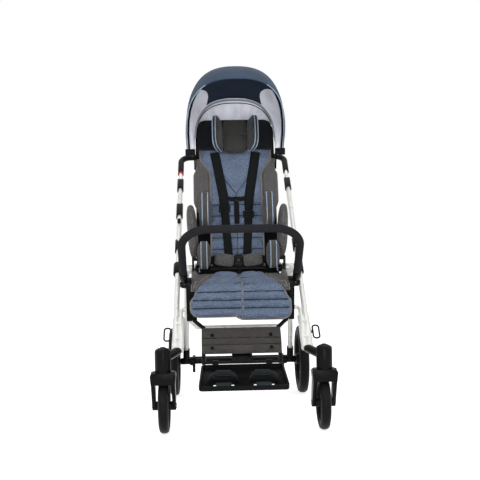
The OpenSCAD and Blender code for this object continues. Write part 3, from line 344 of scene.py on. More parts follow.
def weave_group():
    """Height of crossed threads, and of single loose ones."""
    g, i, o = shader_group(
        "crossed_threads",
        [("Vector", VECTOR), ("Threads", FLOAT), ("Fuzz", FLOAT)],
        [("Height", FLOAT)])
    given = i.outputs
    parts = node(g, "ShaderNodeSeparateXYZ", {"Vector": given["Vector"]}).outputs
    waves = [maths(g, "SINE", maths(g, "MULTIPLY", parts[axis], given["Threads"])) for axis in ("X", "Y")]
    loose = maths(g, "MULTIPLY", patches(g, given["Vector"], 900.0, 2.0), given["Fuzz"])
    feed(g, o, {"Height": maths(g, "ADD", maths(g, "MULTIPLY", *waves), loose)})
    return g


def scuff_group():
    """Fine grain height, a mask of rubbed places and their gloss."""
    g, i, o = shader_group(
        "grain_and_rub",
        [("Vector", VECTOR), ("Grain", FLOAT), ("Rub", FLOAT)],
        [("Height", FLOAT), ("Mask", FLOAT), ("Gloss", FLOAT)])
    given = i.outputs
    wide = patches(g, given["Vector"], 26.0, 5.0, 0.65)
    feed(g, o, {"Height": patches(g, given["Vector"], given["Grain"], 3.0),
                "Mask": maths(g, "MULTIPLY", ranged(g, wide, 0.55, 0.8), given["Rub"]),
                "Gloss": ranged(g, wide, 0.3, 0.75, 0.85, 1.15)})
    return g


MELANGE, WEAVE, SCUFF = melange_group(), weave_group(), scuff_group()


def linear(c):
    """Colour as written on a screen, turned to light values."""
    return tuple(((v / 255 + 0.055) / 1.055) ** 2.4 if v > 10 else v / 255 / 12.92 for v in c) + (1.0,)


def new_material(name):
    m = bpy.data.materials.new(name)
    m.use_nodes = True
    return m, m.node_tree, m.node_tree.nodes["Principled BSDF"]


def group_node(tree, group, sockets):
    return node(tree, "ShaderNodeGroup", sockets, node_tree=group).outputs


def yarn(t, uv, base, dark, light, amount, fleck):
    """Colour of a melange cloth on its own UV."""
    return group_node(t, MELANGE, {"Vector": uv, "Base": linear(base), "Dark": linear(dark), "Light": linear(light),
                                   "Fleck": fleck, "Amount": amount})["Color"]


def threads_height(t, uv, threads, fuzz):
    return group_node(t, WEAVE, {"Vector": uv, "Threads": threads, "Fuzz": fuzz})["Height"]


def bumped(t, height, strength, distance=0.0006):
    return node(t, "ShaderNodeBump", {"Height": height, "Strength": strength, "Distance": distance}).outputs["Normal"]


CLOTH_SHINE = 0.12


def cloth(name, base, dark, light, amount, fleck, threads=3600.0, bump=0.25, rough=0.92, sheen=0.12):
    """Melange cloth: screen colours of its yarns, share and fineness of the flecks, fineness of the weave."""
    m, t, p = new_material(name)
    uv = t.nodes.new("ShaderNodeTexCoord").outputs["UV"]
    feed(t, p, {"Base Color": yarn(t, uv, base, dark, light, amount, fleck),
                "Normal": bumped(t, threads_height(t, uv, threads, 0.8), bump), "Roughness": rough,
                "Sheen Weight": sheen, "Sheen Roughness": 0.5, "Specular IOR Level": CLOTH_SHINE})
    return m


def hard(name, base, rubbed, rough, metal, grain, bump, coat, rub, shine=0.08):
    """Plastic, metal, rubber or foam: screen colours where it is fresh and where it is rubbed."""
    m, t, p = new_material(name)
    at = t.nodes.new("ShaderNodeTexCoord").outputs["Object"]
    scuff = group_node(t, SCUFF, {"Vector": at, "Grain": grain, "Rub": rub})
    feed(t, p, {"Base Color": mix_colour(t, scuff["Mask"], linear(base), linear(rubbed)),
                "Normal": bumped(t, scuff["Height"], bump, 0.0004),
                "Roughness": maths(t, "MULTIPLY", scuff["Gloss"], rough), "Metallic": metal,
                "Coat Weight": coat, "Coat Roughness": 0.15, "Specular IOR Level": shine})
    return m


def webbing(name, base, ribs):
    """Woven strap with ribs across it, on its own UV in metres."""
    m, t, p = new_material(name)
    uv = t.nodes.new("ShaderNodeTexCoord").outputs["UV"]
    along = node(t, "ShaderNodeSeparateXYZ", {"Vector": uv}).outputs["Y"]
    rib = maths(t, "SINE", maths(t, "MULTIPLY", along, ribs))
    height = maths(t, "ADD", rib, threads_height(t, uv, 3000.0, 0.6))
    feed(t, p, {"Base Color": yarn(t, uv, base, [v * 0.6 for v in base], [v * 1.5 for v in base], 0.5, 500.0),
                "Normal": bumped(t, height, 0.4), "Roughness": 0.75,
                "Sheen Weight": 0.04, "Specular IOR Level": CLOTH_SHINE})
    return m


FRAME_WHITE = hard("pearl_white_tube", (226, 226, 222), (206, 206, 203), 0.3, 0.15, 900.0, 0.04, 0.5, 0.5, 0.5)
BLACK_PLASTIC = hard("black_moulded", (11, 11, 12), (20, 20, 21), 0.32, 0.0, 1500.0, 0.14, 0.0, 0.5)
BLACK_SATIN = hard("black_satin", (10, 10, 11), (18, 18, 19), 0.26, 0.0, 1200.0, 0.08, 0.1, 0.4)
STEEL = hard("brushed_steel", (176, 178, 180), (140, 142, 145), 0.3, 1.0, 1800.0, 0.08, 0.0, 0.6, 0.5)
TYRE = hard("tyre_rubber", (19, 19, 19), (31, 30, 30), 0.5, 0.0, 700.0, 0.25, 0.0, 0.7)
RIM_GREY = hard("rim_grey", (20, 21, 22), (36, 37, 39), 0.45, 0.0, 1300.0, 0.1, 0.0, 0.5)
BAR_FOAM = hard("bar_foam", (34, 34, 37), (50, 50, 53), 0.85, 0.0, 900.0, 0.5, 0.0, 0.6)
BOW_SLEEVE = hard("bow_sleeve", (20, 24, 31), (32, 37, 46), 0.85, 0.0, 1600.0, 0.3, 0.0, 0.5, 0.1)
ACCENT_RED = hard("red_plastic", (176, 34, 40), (206, 84, 84), 0.35, 0.0, 1500.0, 0.06, 0.3, 0.4)
SLAT_GREEN = hard("slat_grey_green", (44, 56, 60), (64, 76, 79), 0.5, 0.0, 1100.0, 0.15, 0.0, 0.5)
BLUE_CLOTH = cloth("blue_heather", (95, 109, 131), (68, 81, 103), (122, 136, 157), 0.5, 190.0)
GREY_CLOTH = cloth("grey_melange", (80, 78, 78), (54, 53, 53), (114, 112, 111), 0.55, 240.0)
DARK_CLOTH = cloth("dark_grey_mesh", (70, 68, 66), (48, 46, 45), (92, 90, 88), 0.5, 420.0)
HEAD_CLOTH = cloth("headrest_mesh", (54, 53, 52), (38, 37, 36), (72, 71, 70), 0.5, 420.0)
CALF_CLOTH = cloth("calf_grey", (68, 65, 63), (44, 42, 41), (94, 91, 88), 0.55, 400.0)
BLACK_CLOTH = cloth("black_mesh", (20, 22, 26), (10, 11, 14), (34, 36, 41), 0.5, 420.0)
NAVY_CLOTH = cloth("slate_navy", (52, 67, 87), (40, 53, 72), (70, 85, 105), 0.4, 300.0, 3000.0, 0.18, 0.85, 0.06)
PIPING_BLUE = cloth("light_blue_piping", (158, 178, 204), (136, 156, 184), (180, 196, 218), 0.4, 500.0, 4200.0, 0.2)
TRIM = cloth("taupe_binding", (128, 120, 114), (98, 91, 86), (152, 144, 138), 0.5, 460.0, 4000.0, 0.3)
# Dark blue of the lines along the pads' seams and sewn creases: painted shadow in the valleys
SEAM_SHADE = cloth("sewn_line", (40, 49, 65), (30, 37, 50), (54, 63, 78), 0.4, 500.0, 4200.0, 0.2)
HOOP_BAND = cloth("hoop_band", (150, 151, 164), (128, 129, 142), (172, 173, 184), 0.4, 400.0, 4200.0, 0.2)
WEB = webbing("black_webbing", (12, 14, 17), 2600.0)


def lining(name):
    """Inner skin of the canopy: pale cloth, its lavender raised near white as painted light for the dim inside of the
    hood, with the darker panel and hem that the panel value marks.
    """
    m, t, p = new_material(name)
    uv = t.nodes.new("ShaderNodeTexCoord").outputs["UV"]
    # Near-white lavender: the lining's own pale colour, brightened as painted light where the hood shades it
    pale = yarn(t, uv, (246, 247, 255), (230, 231, 250), (251, 251, 255), 0.4, 260.0)
    dark = yarn(t, uv, (34, 44, 60), (22, 30, 44), (48, 58, 74), 0.45, 300.0)
    panel = node(t, "ShaderNodeAttribute", {}, attribute_name="panel").outputs["Fac"]
    feed(t, p, {"Base Color": mix_colour(t, ranged(t, panel, -0.4, 0.4), pale, dark),
                "Normal": bumped(t, threads_height(t, uv, 3000.0, 0.8), 0.15), "Roughness": 0.9,
                "Sheen Weight": 0.1, "Specular IOR Level": CLOTH_SHINE})
    return m


LINING = lining("canopy_lining")


# Modelling helpers
def put(name, verts, faces, material, uvs):
    """New piece from points and faces, with a UV in metres for each point."""
    me = bpy.data.meshes.new(name)
    me.from_pydata([tuple(v) for v in verts], [], faces)
    me.validate()
    ob = bpy.data.objects.new(name, me)
    bpy.context.collection.objects.link(ob)
    layer = me.uv_layers.new(name="cloth")
    index = np.empty(len(me.loops), dtype=np.int32)
    me.loops.foreach_get("vertex_index", index)
    layer.data.foreach_set("uv", np.array(uvs, dtype=np.float32)[index].ravel())
    for mat in material if isinstance(material, (list, tuple)) else [material]:
        me.materials.append(mat)
    me.polygons.foreach_set("use_smooth", [True] * len(me.polygons))
    return ob


def only(ob):
    bpy.ops.object.select_all(action="DESELECT")
    ob.select_set(True)
    bpy.context.view_layer.objects.active = ob


def use(ob, modifier):
    only(ob)
    bpy.ops.object.modifier_apply(modifier=modifier.name)


def whole_mesh(ob):
    """Edit mode with all of the piece selected."""
    only(ob)
    bpy.ops.object.mode_set(mode="EDIT")
    bpy.ops.mesh.select_all(action="SELECT")


def recalc(ob):
    whole_mesh(ob)
    bpy.ops.mesh.normals_make_consistent(inside=False)
    bpy.ops.object.mode_set(mode="OBJECT")


def pick_faces(ob, wanted):
    """Edit mode with only the wanted faces selected."""
    bpy.ops.object.mode_set(mode="EDIT")
    bpy.ops.mesh.select_mode(type="FACE")
    bpy.ops.mesh.select_all(action="DESELECT")
    bpy.ops.object.mode_set(mode="OBJECT")
    for p in ob.data.polygons:
        p.select = wanted(p.normal)
    bpy.ops.object.mode_set(mode="EDIT")


def ease_edges(ob, width, segments=2, angle=rad(30)):
    mod = ob.modifiers.new("ease", "BEVEL")
    mod.width = width
    mod.segments = segments
    mod.limit_method = "ANGLE"
    mod.angle_limit = angle
    use(ob, mod)


SMOOTH_UNDER = rad(38)


def smooth(ob):
    only(ob)
    bpy.ops.object.shade_smooth_by_angle(angle=SMOOTH_UNDER)


def settle(ob, body, nodes, slot):
    """The piece rides on its body and stands for the solids that it covers."""
    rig.ride(ob, body)
    if nodes:
        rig.replaces(ob, *nodes)
    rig.slot(ob, slot)


def lengths(points):
    """Length along the points up to each of them."""
    out = [0.0]
    for a, b in zip(points, points[1:]):
        out.append(out[-1] + (b - a).length)
    return out


def grid_solid(name, ss, ts, face, rear, material):
    """Closed pad between a face and a rear, both given at (s, t), with UV in metres."""
    front, back = [[[side(s, t) for s in ss] for t in ts] for side in (face, rear)]
    rows, cols = len(ts), len(ss)
    n = rows * cols
    verts = [p for r in front for p in r] + [p for r in back for p in r]
    across = lengths(front[rows // 2])
    down = lengths([r[cols // 2] for r in front])
    uvs = [(across[i], down[j]) for j in range(rows) for i in range(cols)] * 2
    faces = []
    for j in range(rows - 1):
        for i in range(cols - 1):
            a = j * cols + i
            faces.append((a, a + 1, a + cols + 1, a + cols))
            faces.append((n + a, n + a + cols, n + a + cols + 1, n + a + 1))
    loop = (list(range(cols)) + [j * cols + cols - 1 for j in range(1, rows)]
            + [(rows - 1) * cols + i for i in range(cols - 2, -1, -1)]
            + [j * cols for j in range(rows - 2, 0, -1)])
    for k, a in enumerate(loop):
        b = loop[(k + 1) % len(loop)]
        faces.append((b, a, a + n, b + n))
    ob = put(name, verts, faces, material, uvs)
    recalc(ob)
    return ob


def cord(name, pts, radius, material, body, slot, sides=8, closed=False):
    """Round tube along points: piping, binding, wire, or a dark line of painted shadow along a seam."""
    n = len(pts)
    r = radius * MM
    rings, uvs, faces = [], [], []
    prev = None
    dist = 0.0
    for k in range(n):
        a = pts[k - 1] if k or closed else pts[k]
        b = pts[(k + 1) % n] if k < n - 1 or closed else pts[k]
        run = (b - a).normalized()
        if prev is None:
            prev = run.orthogonal().normalized()
        prev = (prev - run * prev.dot(run)).normalized()
        side = run.cross(prev)
        if k:
            dist += (pts[k] - pts[k - 1]).length
        for s in range(sides):
            w = 2 * pi * s / sides
            rings.append(pts[k] + r * (cos(w) * prev + sin(w) * side))
            uvs.append((s * r * 0.8, dist))
    for k in range(n if closed else n - 1):
        for s in range(sides):
            a, b = k * sides + s, k * sides + (s + 1) % sides
            c, d = (k + 1) % n * sides + s, (k + 1) % n * sides + (s + 1) % sides
            faces.append((a, b, d, c))
    if not closed:
        faces.append(tuple(range(sides - 1, -1, -1)))
        faces.append(tuple((n - 1) * sides + s for s in range(sides)))
    ob = put(name, rings, faces, material, uvs)
    recalc(ob)
    settle(ob, body, (), slot)


def strap(name, pts, faces_to, half, thick, body, nodes=()):
    """Flat webbing along points; its face looks along faces_to, its half width may change."""
    halves = half if isinstance(half, (list, tuple)) else [half] * len(pts)
    verts, uvs, faces = [], [], []
    dist = lengths(pts)
    cols = 5
    for k, p in enumerate(pts):
        run = (pts[min(k + 1, len(pts) - 1)] - pts[max(k - 1, 0)]).normalized()
        out = Vector(faces_to[k] if isinstance(faces_to, list) else faces_to).normalized()
        across = run.cross(out).normalized()
        out = across.cross(run).normalized()
        for level in (1, 0):
            for c in range(cols):
                x = 2 * c / (cols - 1) - 1
                lift = thick * (level if abs(x) < 0.99 else 0.5 + 0.3 * (level - 0.5))
                verts.append(p + across * x * halves[k] * MM + out * lift * MM)
                uvs.append((x * halves[k] * MM, dist[k]))
    step = 2 * cols
    ring = list(range(cols)) + [step - 1 - c for c in range(cols)]
    for k in range(len(pts) - 1):
        here, there = k * step, (k + 1) * step
        for a, b in zip(ring, ring[1:] + ring[:1]):
            faces.append((here + a, here + b, there + b, there + a))
    for here in (0, (len(pts) - 1) * step):
        for c in range(cols - 1):
            faces.append((here + c, here + c + 1, here + cols + c + 1, here + cols + c))
    ob = put(name, verts, faces, WEB, uvs)
    recalc(ob)
    settle(ob, body, nodes, "web_black")


def outline(half_u, half_v, power, n):
    """Points of a rounded rectangle, evenly spread by length."""
    pts = [Vector(rounded(2 * pi * k / (n * 8), half_u, half_v, power)) for k in range(n * 8)]
    ring = pts + [pts[0]]
    total = lengths(ring)
    out, j = [], 0
    for k in range(n):
        want = total[-1] * k / n
        while total[j + 1] < want:
            j += 1
        f = (want - total[j]) / max(1e-9, total[j + 1] - total[j])
        out.append(ring[j].lerp(ring[j + 1], f))
    return out


# Section of a boxed pad from the middle of a face to its seam: share of the half width, share of the face's rise
PAD_SECTION = ((0.0, 1.0), (0.3, 0.985), (0.55, 0.92), (0.76, 0.76), (0.9, 0.48), (0.97, 0.2), (1.0, 0.0))
PAD_TURNS = 56


def slab_pad(name, centre, u, v, n, half_u, half_v, thick, material, power, gusset, shape):
    """Boxed pad: two crowned faces and a gusset between them. Returns it and its two seam loops."""
    u, v, n = Vector(u).normalized(), Vector(v).normalized(), Vector(n).normalized()
    ring = outline(half_u, half_v, power, PAD_TURNS)
    edge = thick * gusset / 2
    face = thick / 2 - edge
    half = [(scale, edge + face * rise) for scale, rise in PAD_SECTION]
    steps = ([(scale, -depth) for scale, depth in half] + [(1.02, -edge * 0.5), (1.025, 0), (1.02, edge * 0.5)]
             + half[::-1])
    verts, uvs, faces = [], [], []
    for scale, depth in steps:
        for q in ring:
            x, y = q.x * scale, q.y * scale
            if shape:
                x, y = shape(x, y, half_u)
            verts.append(centre + (u * x + v * y + n * depth) * MM)
            uvs.append((x * MM, (y + depth * 0.5) * MM))
    for k in range(len(steps) - 1):
        for i in range(PAD_TURNS):
            a, b = k * PAD_TURNS + i, k * PAD_TURNS + (i + 1) % PAD_TURNS
            faces.append((a, b, b + PAD_TURNS, a + PAD_TURNS))
    ob = put(name, verts, faces, material, uvs)
    whole_mesh(ob)
    bpy.ops.mesh.remove_doubles(threshold=0.00002)
    bpy.ops.mesh.normals_make_consistent(inside=False)
    bpy.ops.object.mode_set(mode="OBJECT")
    low = len(PAD_SECTION) - 1
    return ob, *(verts[k * PAD_TURNS:(k + 1) * PAD_TURNS] for k in (low, len(steps) - 1 - low))


def sewn_points(ts, ss, rim, sewn):
    """1 for the points of a pad's face on its rim and where it is sewn, and for all of its rear."""
    last = len(ts) - 1
    face = [1.0 if sewn(s, t) or s < rim or s > 1 - rim or j in (0, last) else 0.0
            for j, t in enumerate(ts) for s in ss]
    return face + [1.0] * len(face)


FILL_FRAMES = 20


def puff_up(ob, held, pressure, cap, slack):
    """Cloth pass: held says how far a point is sewn down, 0 to 1; cap is the most that it moves, in mm."""
    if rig.quick():
        return
    group = ob.vertex_groups.new(name="sewn")
    start = [v.co.copy() for v in ob.data.vertices]
    for k, w in enumerate(held):
        if w > 0:
            group.add([k], w, "REPLACE")
    mod = ob.modifiers.new("filling", "CLOTH")
    s = mod.settings
    s.vertex_group_mass = "sewn"
    s.use_pressure = True
    s.uniform_pressure_force = pressure
    s.effector_weights.gravity = 0
    s.quality = 4
    s.mass = 0.25
    s.tension_stiffness = 12
    s.compression_stiffness = 6
    s.shear_stiffness = 4
    s.bending_stiffness = 0.15
    s.shrink_min = -slack
    mod.point_cache.frame_start = 1
    mod.point_cache.frame_end = FILL_FRAMES
    scene = bpy.context.scene
    for f in range(1, FILL_FRAMES + 1):
        scene.frame_set(f)
    shown = ob.evaluated_get(bpy.context.evaluated_depsgraph_get())
    moved = [v.co.copy() for v in shown.data.vertices]
    ob.modifiers.remove(mod)
    ob.vertex_groups.clear()
    for v, a, b in zip(ob.data.vertices, start, moved):
        step = b - a
        if step.length > cap * MM:
            step *= cap * MM / step.length
        v.co = a + step
    scene.frame_set(1)


def soften(ob):
    mod = ob.modifiers.new("round", "SUBSURF")
    mod.levels = mod.render_levels = 1
    use(ob, mod)


def upholster(ob, fill, body, nodes, slot):
    soften(ob)
    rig.padded(ob, fill)
    settle(ob, body, nodes, slot)


def finished(name, material, bevel):
    """The solid's own shape with merged faces, eased edges and smooth curves."""
    src = frame["nodes"][name]
    me = src.data.copy()
    me.name = name + "_finish"
    ob = bpy.data.objects.new(name + "_finish", me)
    bpy.context.collection.objects.link(ob)
    me.materials.clear()
    me.materials.append(material)
    whole_mesh(ob)
    bpy.ops.mesh.remove_doubles(threshold=0.00001)
    bpy.ops.mesh.dissolve_limited(angle_limit=rad(0.6))
    bpy.ops.object.mode_set(mode="OBJECT")
    for p in me.polygons:
        p.material_index = 0
    ease_edges(ob, bevel * MM, angle=rad(42))
    smooth(ob)
    settle(ob, BODY[name], [name], SLOT[name])


def turned(name, at, axis, r, h, material, body, bevel, slot="plastic_black"):
    """Small round part such as a cap, stud or screw head, standing on at along axis."""
    bpy.ops.object.select_all(action="DESELECT")
    bpy.ops.mesh.primitive_cylinder_add(vertices=24, radius=r * MM, depth=h * MM)
    ob = bpy.context.active_object
    ob.name = ob.data.name = name
    pick_faces(ob, lambda normal: normal.z > 0.9)
    bpy.ops.mesh.inset(thickness=r * 0.35 * MM)
    bpy.ops.object.mode_set(mode="OBJECT")
    ease_edges(ob, bevel * MM)
    turn = Vector((0, 0, 1)).rotation_difference(Vector(axis).normalized()).to_matrix().to_4x4()
    ob.data.transform(Matrix.Translation(Vector(at)) @ turn @ Matrix.Translation((0, 0, h * MM / 2)))
    ob.data.materials.append(material)
    smooth(ob)
    settle(ob, body, (), slot)


def block(name, low, high, material, body, place, bevel, inset=0.0, drop=0.0):
    """Moulded block with eased edges, and a panel sunk by drop into its front face where inset is given."""
    bpy.ops.object.select_all(action="DESELECT")
    bpy.ops.mesh.primitive_cube_add(size=1)
    ob = bpy.context.active_object
    ob.name = ob.data.name = name
    size = [h - l for l, h in zip(low, high)]
    mid = [(h + l) / 2 for l, h in zip(low, high)]
    for v in ob.data.vertices:
        v.co = Vector([m + s * c for m, s, c in zip(mid, size, v.co)])
    if inset:
        pick_faces(ob, lambda normal: normal.y < -0.9)
        bpy.ops.mesh.inset(thickness=inset)
        bpy.ops.transform.translate(value=(0, drop, 0))
        bpy.ops.object.mode_set(mode="OBJECT")
    ease_edges(ob, bevel, 3)
    for v in ob.data.vertices:
        v.co = place(*v.co)
    ob.data.materials.append(material)
    recalc(ob)
    smooth(ob)
    settle(ob, body, (), "plastic_black")


# Rigid parts: material, eased edge and solids
RIGID = (
    (FRAME_WHITE, 0.8, "frame_tubes leg_sleeves push_handle rear_legs"),
    (BLACK_PLASTIC, 1.0, "caster_arms pivot_brackets side_plates seat_rails seat_tray tube_clips handle_grip"
                         " axle_blocks rear_axle brake_pedal back_shell canopy_brackets legrest_frame footplate"
                         " buckle_body"),
    (BLACK_PLASTIC, 5.0, "caster_fork_left caster_fork_right"),
    (BLACK_SATIN, 0.6, "front_bar tie_loops"),
    (BOW_SLEEVE, 0.6, "canopy_bow"),
    (STEEL, 0.6, "pivot_pins caster_axle_left caster_axle_right headrest_post"),
    (RIM_GREY, 1.2, "rear_rim_left rear_rim_right caster_rim_left caster_rim_right"),
    (TYRE, 1.0, "rear_tyre_left rear_tyre_right caster_tyre_left caster_tyre_right"),
    (BAR_FOAM, 1.5, "bar_foam"),
    (ACCENT_RED, 0.8, "lock_ring"),
    (BLACK_SATIN, 0.6, "buckle_button"),
)
for finish, bevel, parts in RIGID:
    for part in parts.split():
        finished(part, finish, bevel)


# Seat: thigh pads, base, bolsters
SEAT_SLOPE, NOSE_TURN = rad(13), rad(70)
SEAT_REAR = (PIVOT_Y - 30, PIVOT_Z - 25)
PAD_FLAT, NOSE_R, PAD_DROP, PAD_THICK = 150.0, 40.0, 72.0, 26.0
PAD_SEAMS = (70.0, 150.0, 182.0, 207.0, 236.0)
INNER_R, OUTER_R = 24.0, 30.0
PAD_RISE, CHANNEL_LOW = PAD_THICK - 9, 0.16
NOSE_LEN = NOSE_R * NOSE_TURN
PAD_LEN = PAD_FLAT + NOSE_LEN + PAD_DROP
PAD_INNER, PAD_REAR_OUT, PAD_FRONT_OUT = 3.2, 88.0, 164.0
FLARE, FLARE_AT = 15, 0.7 * PAD_LEN
BINDING_OFF = 4.5
SEAT_HALF, SEAT_GAP, SEAT_FOOT = 161.7, 0.6, 32.6
BOLSTER_OUT, BOLSTER_RISE = 175.0, 9
RAIL_X, RAIL_RISE, RAIL_FALL = 152, 35, 0.147


def seat_angle(l):
    return SEAT_SLOPE + NOSE_TURN * max(0.0, min(1.0, (l - PAD_FLAT) / NOSE_LEN))


def seat(x, l, off):
    """Point of the seat cover, l along it from the rear and off above it."""
    a = seat_angle(l)
    if l < PAD_FLAT:
        y = SEAT_REAR[0] - l * cos(SEAT_SLOPE)
        z = SEAT_REAR[1] - l * sin(SEAT_SLOPE)
    else:
        cy = SEAT_REAR[0] - PAD_FLAT * cos(SEAT_SLOPE) + NOSE_R * sin(SEAT_SLOPE)
        cz = SEAT_REAR[1] - PAD_FLAT * sin(SEAT_SLOPE) - NOSE_R * cos(SEAT_SLOPE)
        more = max(0.0, l - PAD_FLAT - NOSE_LEN)
        y = cy - NOSE_R * sin(a) - more * cos(a)
        z = cz + NOSE_R * cos(a) - more * sin(a)
    return Vector((x, y - off * sin(a), z + off * cos(a))) * MM


def round_off(l, end, r):
    """How far a corner of radius r at the pad's end draws its edge in."""
    d = max(0.0, l - end + r)
    return r - math.sqrt(max(0.0, r * r - d * d))


def pad_out(l, end=PAD_LEN):
    """Outer edge of a thigh pad."""
    w = lerp(PAD_REAR_OUT, PAD_FRONT_OUT, min(1.0, l / FLARE_AT)) + FLARE * ease((l - FLARE_AT) / 24)
    return w - round_off(l, end, OUTER_R)


def thigh_pad(side, tag, end, lap, tuck):
    """Channelled pad; lap is how far its inner edge lies over the other pad, tuck how far under it at the front."""
    name = "thigh_pad_%s_soft" % tag
    ts, ss = span(0, 1, 92), edge_span(26)
    seams = (0.0,) + PAD_SEAMS + (end,)

    def place(s, t, off):
        l = t * end
        lapped = lap * ease((t - 0.2) / 0.15)
        inner = PAD_INNER - lapped - tuck * ease((t - 0.7) / 0.1) + round_off(l, end, INNER_R)
        x = lerp(inner, pad_out(l, end), s)
        if tuck and x < 4:
            off *= lerp(1.0, 0.4, ease((4 - x) / 10))
        return seat(side * x, l, off + 0.85 * lapped * max(0.0, 1 - s / 0.2))

    def top(s, t):
        wave = channel(t * end, seams) ** 0.85
        rise = 7 + PAD_RISE * crown(s) * lerp(CHANNEL_LOW, 1.0, wave) * min(1.0, 8 * t + 0.25)
        ripple = 1.4 * noise.noise(Vector((s * 9 + side, t * 26, side * 3.0))) * crown(s)
        return place(s, t, rise + ripple)

    def sewn(s, t):
        return min(abs(t * end - q) for q in seams) < 1.7

    ob = grid_solid(name, ss, ts, top, lambda s, t: place(s, t, SEAT_GAP), BLUE_CLOTH)
    puff_up(ob, sewn_points(ts, ss, 0.015, sewn), pressure=3.5, cap=4.5, slack=0.05)
    upholster(ob, 0.7, "chassis", ["thigh_pad_" + tag], "cloth_blue")
    # Binding round the pad, and dark lines along the seams: painted shadow in the valleys
    round_it = ([(0, t) for t in span(0, 1, 40)] + [(s, 1) for s in span(0.04, 0.96, 10)]
                + [(1, t) for t in span(1, 0, 60)])
    edge = [place(s, t, BINDING_OFF) for s, t in round_it]
    cord(name + "_binding", edge, 3.8, TRIM, "chassis", "cloth_grey", sides=10)
    for k, l in enumerate(PAD_SEAMS):
        line = [place(s, l / end, 9.4 + PAD_RISE * crown(s) * CHANNEL_LOW) for s in span(0.03, 0.97, 24)]
        cord("%s_seam_%d" % (name, k), line, 2.7, SEAM_SHADE, "chassis", "cloth_blue", sides=6)


thigh_pad(1, "right", PAD_LEN + 5, 0.0, 22.0)
thigh_pad(-1, "left", PAD_LEN - 6, 10.0, 0.0)


def seat_base():
    ls = span(0, PAD_FLAT, 12) + span(PAD_FLAT, PAD_FLAT + NOSE_LEN, 8)[1:]

    def top(s, l):
        return seat(lerp(-SEAT_HALF, SEAT_HALF, s), l, -SEAT_GAP - 4 * (1 - crown(s, 8)))

    def low(s, l):
        return seat(lerp(-SEAT_HALF, SEAT_HALF, s), l, -SEAT_FOOT)

    ob = grid_solid("seat_base_soft", edge_span(20), ls, top, low, GREY_CLOTH)
    upholster(ob, 0.9, "chassis", ["seat_base"], "cloth_grey")


seat_base()


def bolster(side, tag):
    """Grey corner of the seat cover, which also lies over the side rail."""
    name = "seat_bolster_" + tag
    reach = 0.66 * PAD_LEN

    def across(s, l):
        x = pad_out(l) + 2
        return lerp(x, max(x + 2, lerp(SEAT_HALF, BOLSTER_OUT, ease((l - 40) / 25))), s)

    def over_rail(x, l):
        return max(0.0, RAIL_RISE - RAIL_FALL * l) * ease((x - RAIL_X) / 9.5) * ease((l - 30) / 15)

    def at(s, l, h):
        x = across(s, l)
        return seat(side * x, l, h + over_rail(x, l))

    def face(s, t):
        ripple = 1.2 * noise.noise(Vector((s * 5, t * 7, side)))
        return at(s, t * reach, 6.5 + BOLSTER_RISE * crown(s) * crown(t) + ripple)

    ob = grid_solid(name, edge_span(20), edge_span(30), face, lambda s, t: at(s, t * reach, 0.8), GREY_CLOTH)
    upholster(ob, 0.7, "chassis", ["seat_bolsters"], "cloth_grey")
    for off in (4.0, 11.0):
        line = []
        for t in span(0.03, 0.97, 30):
            x = min(pad_out(t * reach) + off, across(1, t * reach) - 1)
            s = (x - across(0, t * reach)) / (across(1, t * reach) - across(0, t * reach))
            line.append(at(s, t * reach, 7.2 + BOLSTER_RISE * crown(s) * crown(t)))
        cord(name + "_cord_%d" % off, line, 1.9, TRIM, "chassis", "cloth_grey")
    rim = [at(1, t * reach, BINDING_OFF) for t in span(0, 1, 30)]
    cord(name + "_binding", rim, 3.0, TRIM, "chassis", "cloth_grey")


for side, tag in SIDES:
    bolster(side, tag)


def piped_pad(name, nodes, body, centre, u, v, n, half_u, half_v, thick, power=5.0, pipes=True,
              material=DARK_CLOTH, slot="cloth_dark", cap=4.0, shape=None, gusset=0.5):
    """Boxed pad, filled and held at its two seams, with piping along them."""
    ob, seam_a, seam_b = slab_pad(name, centre, u, v, n, half_u, half_v, thick, material, power, gusset, shape)
    near = {tuple(round(c, 5) for c in p) for p in seam_a + seam_b}
    held = [1.0 if tuple(round(c, 5) for c in vert.co) in near else 0.0 for vert in ob.data.vertices]
    puff_up(ob, held, pressure=3.0, cap=cap, slack=0.03)
    upholster(ob, 0.75, body, nodes, slot)
    if pipes:
        for tag, loop in (("inner", seam_a), ("outer", seam_b)):
            mid = sum(loop, Vector()) / len(loop)
            ring = [mid + (p - mid) * 1.012 for p in loop]
            cord(name + "_piping_" + tag, ring, 1.7, PIPING_BLUE, body, slot, closed=True)


BACK_U = (on_back(0, 1, 0) - on_back(0, 0, 0)).normalized()
BACK_V = (on_back(0, 0, 1) - on_back(0, 0, 0)).normalized()
GUARD_TILT, LAP_TILT = 0.07, 0.14
for side, tag in SIDES:
    piped_pad("hip_pad_" + tag, ["hip_pads"], "chassis", Vector((side * 130, -121, 586)) * MM,
              (0, 1, 0), (0, 0, 1), (side, 0, 0), 42, 50, 43)
    piped_pad("lateral_pad_" + tag, ["lateral_pads"], "backrest", on_back(side * 124, -18, 228.5),
              BACK_U, BACK_V, (side, 0, 0), 66, 62, 43)
    piped_pad("side_guard_" + tag, ["side_guards"], "backrest", on_back(side * 174.5, -8, 150), BACK_U,
              BACK_V + Vector((side * GUARD_TILT, 0, 0)), Vector((side, 0, 0)) - BACK_V * GUARD_TILT, 68, 100, 31,
              pipes=False, material=GREY_CLOTH, slot="cloth_grey", power=3.2, gusset=0.4)
    piped_pad("lap_pad_" + tag, ["lap_belt"], "chassis", Vector((side * 54, -108.5, 566)) * MM,
              (1, 0, side * LAP_TILT), (-side * LAP_TILT, 0, 1), (0, -1, 0), 36, 23, 16, pipes=False,
              material=GREY_CLOTH, slot="cloth_grey", power=4.0, cap=2.5)
    web = [Vector((side * x, -96.5, 565)) * MM for x in span(14.5, 107, 10)]
    strap("lap_web_" + tag, web, (0, -1, 0), 15, 2.2, "chassis")


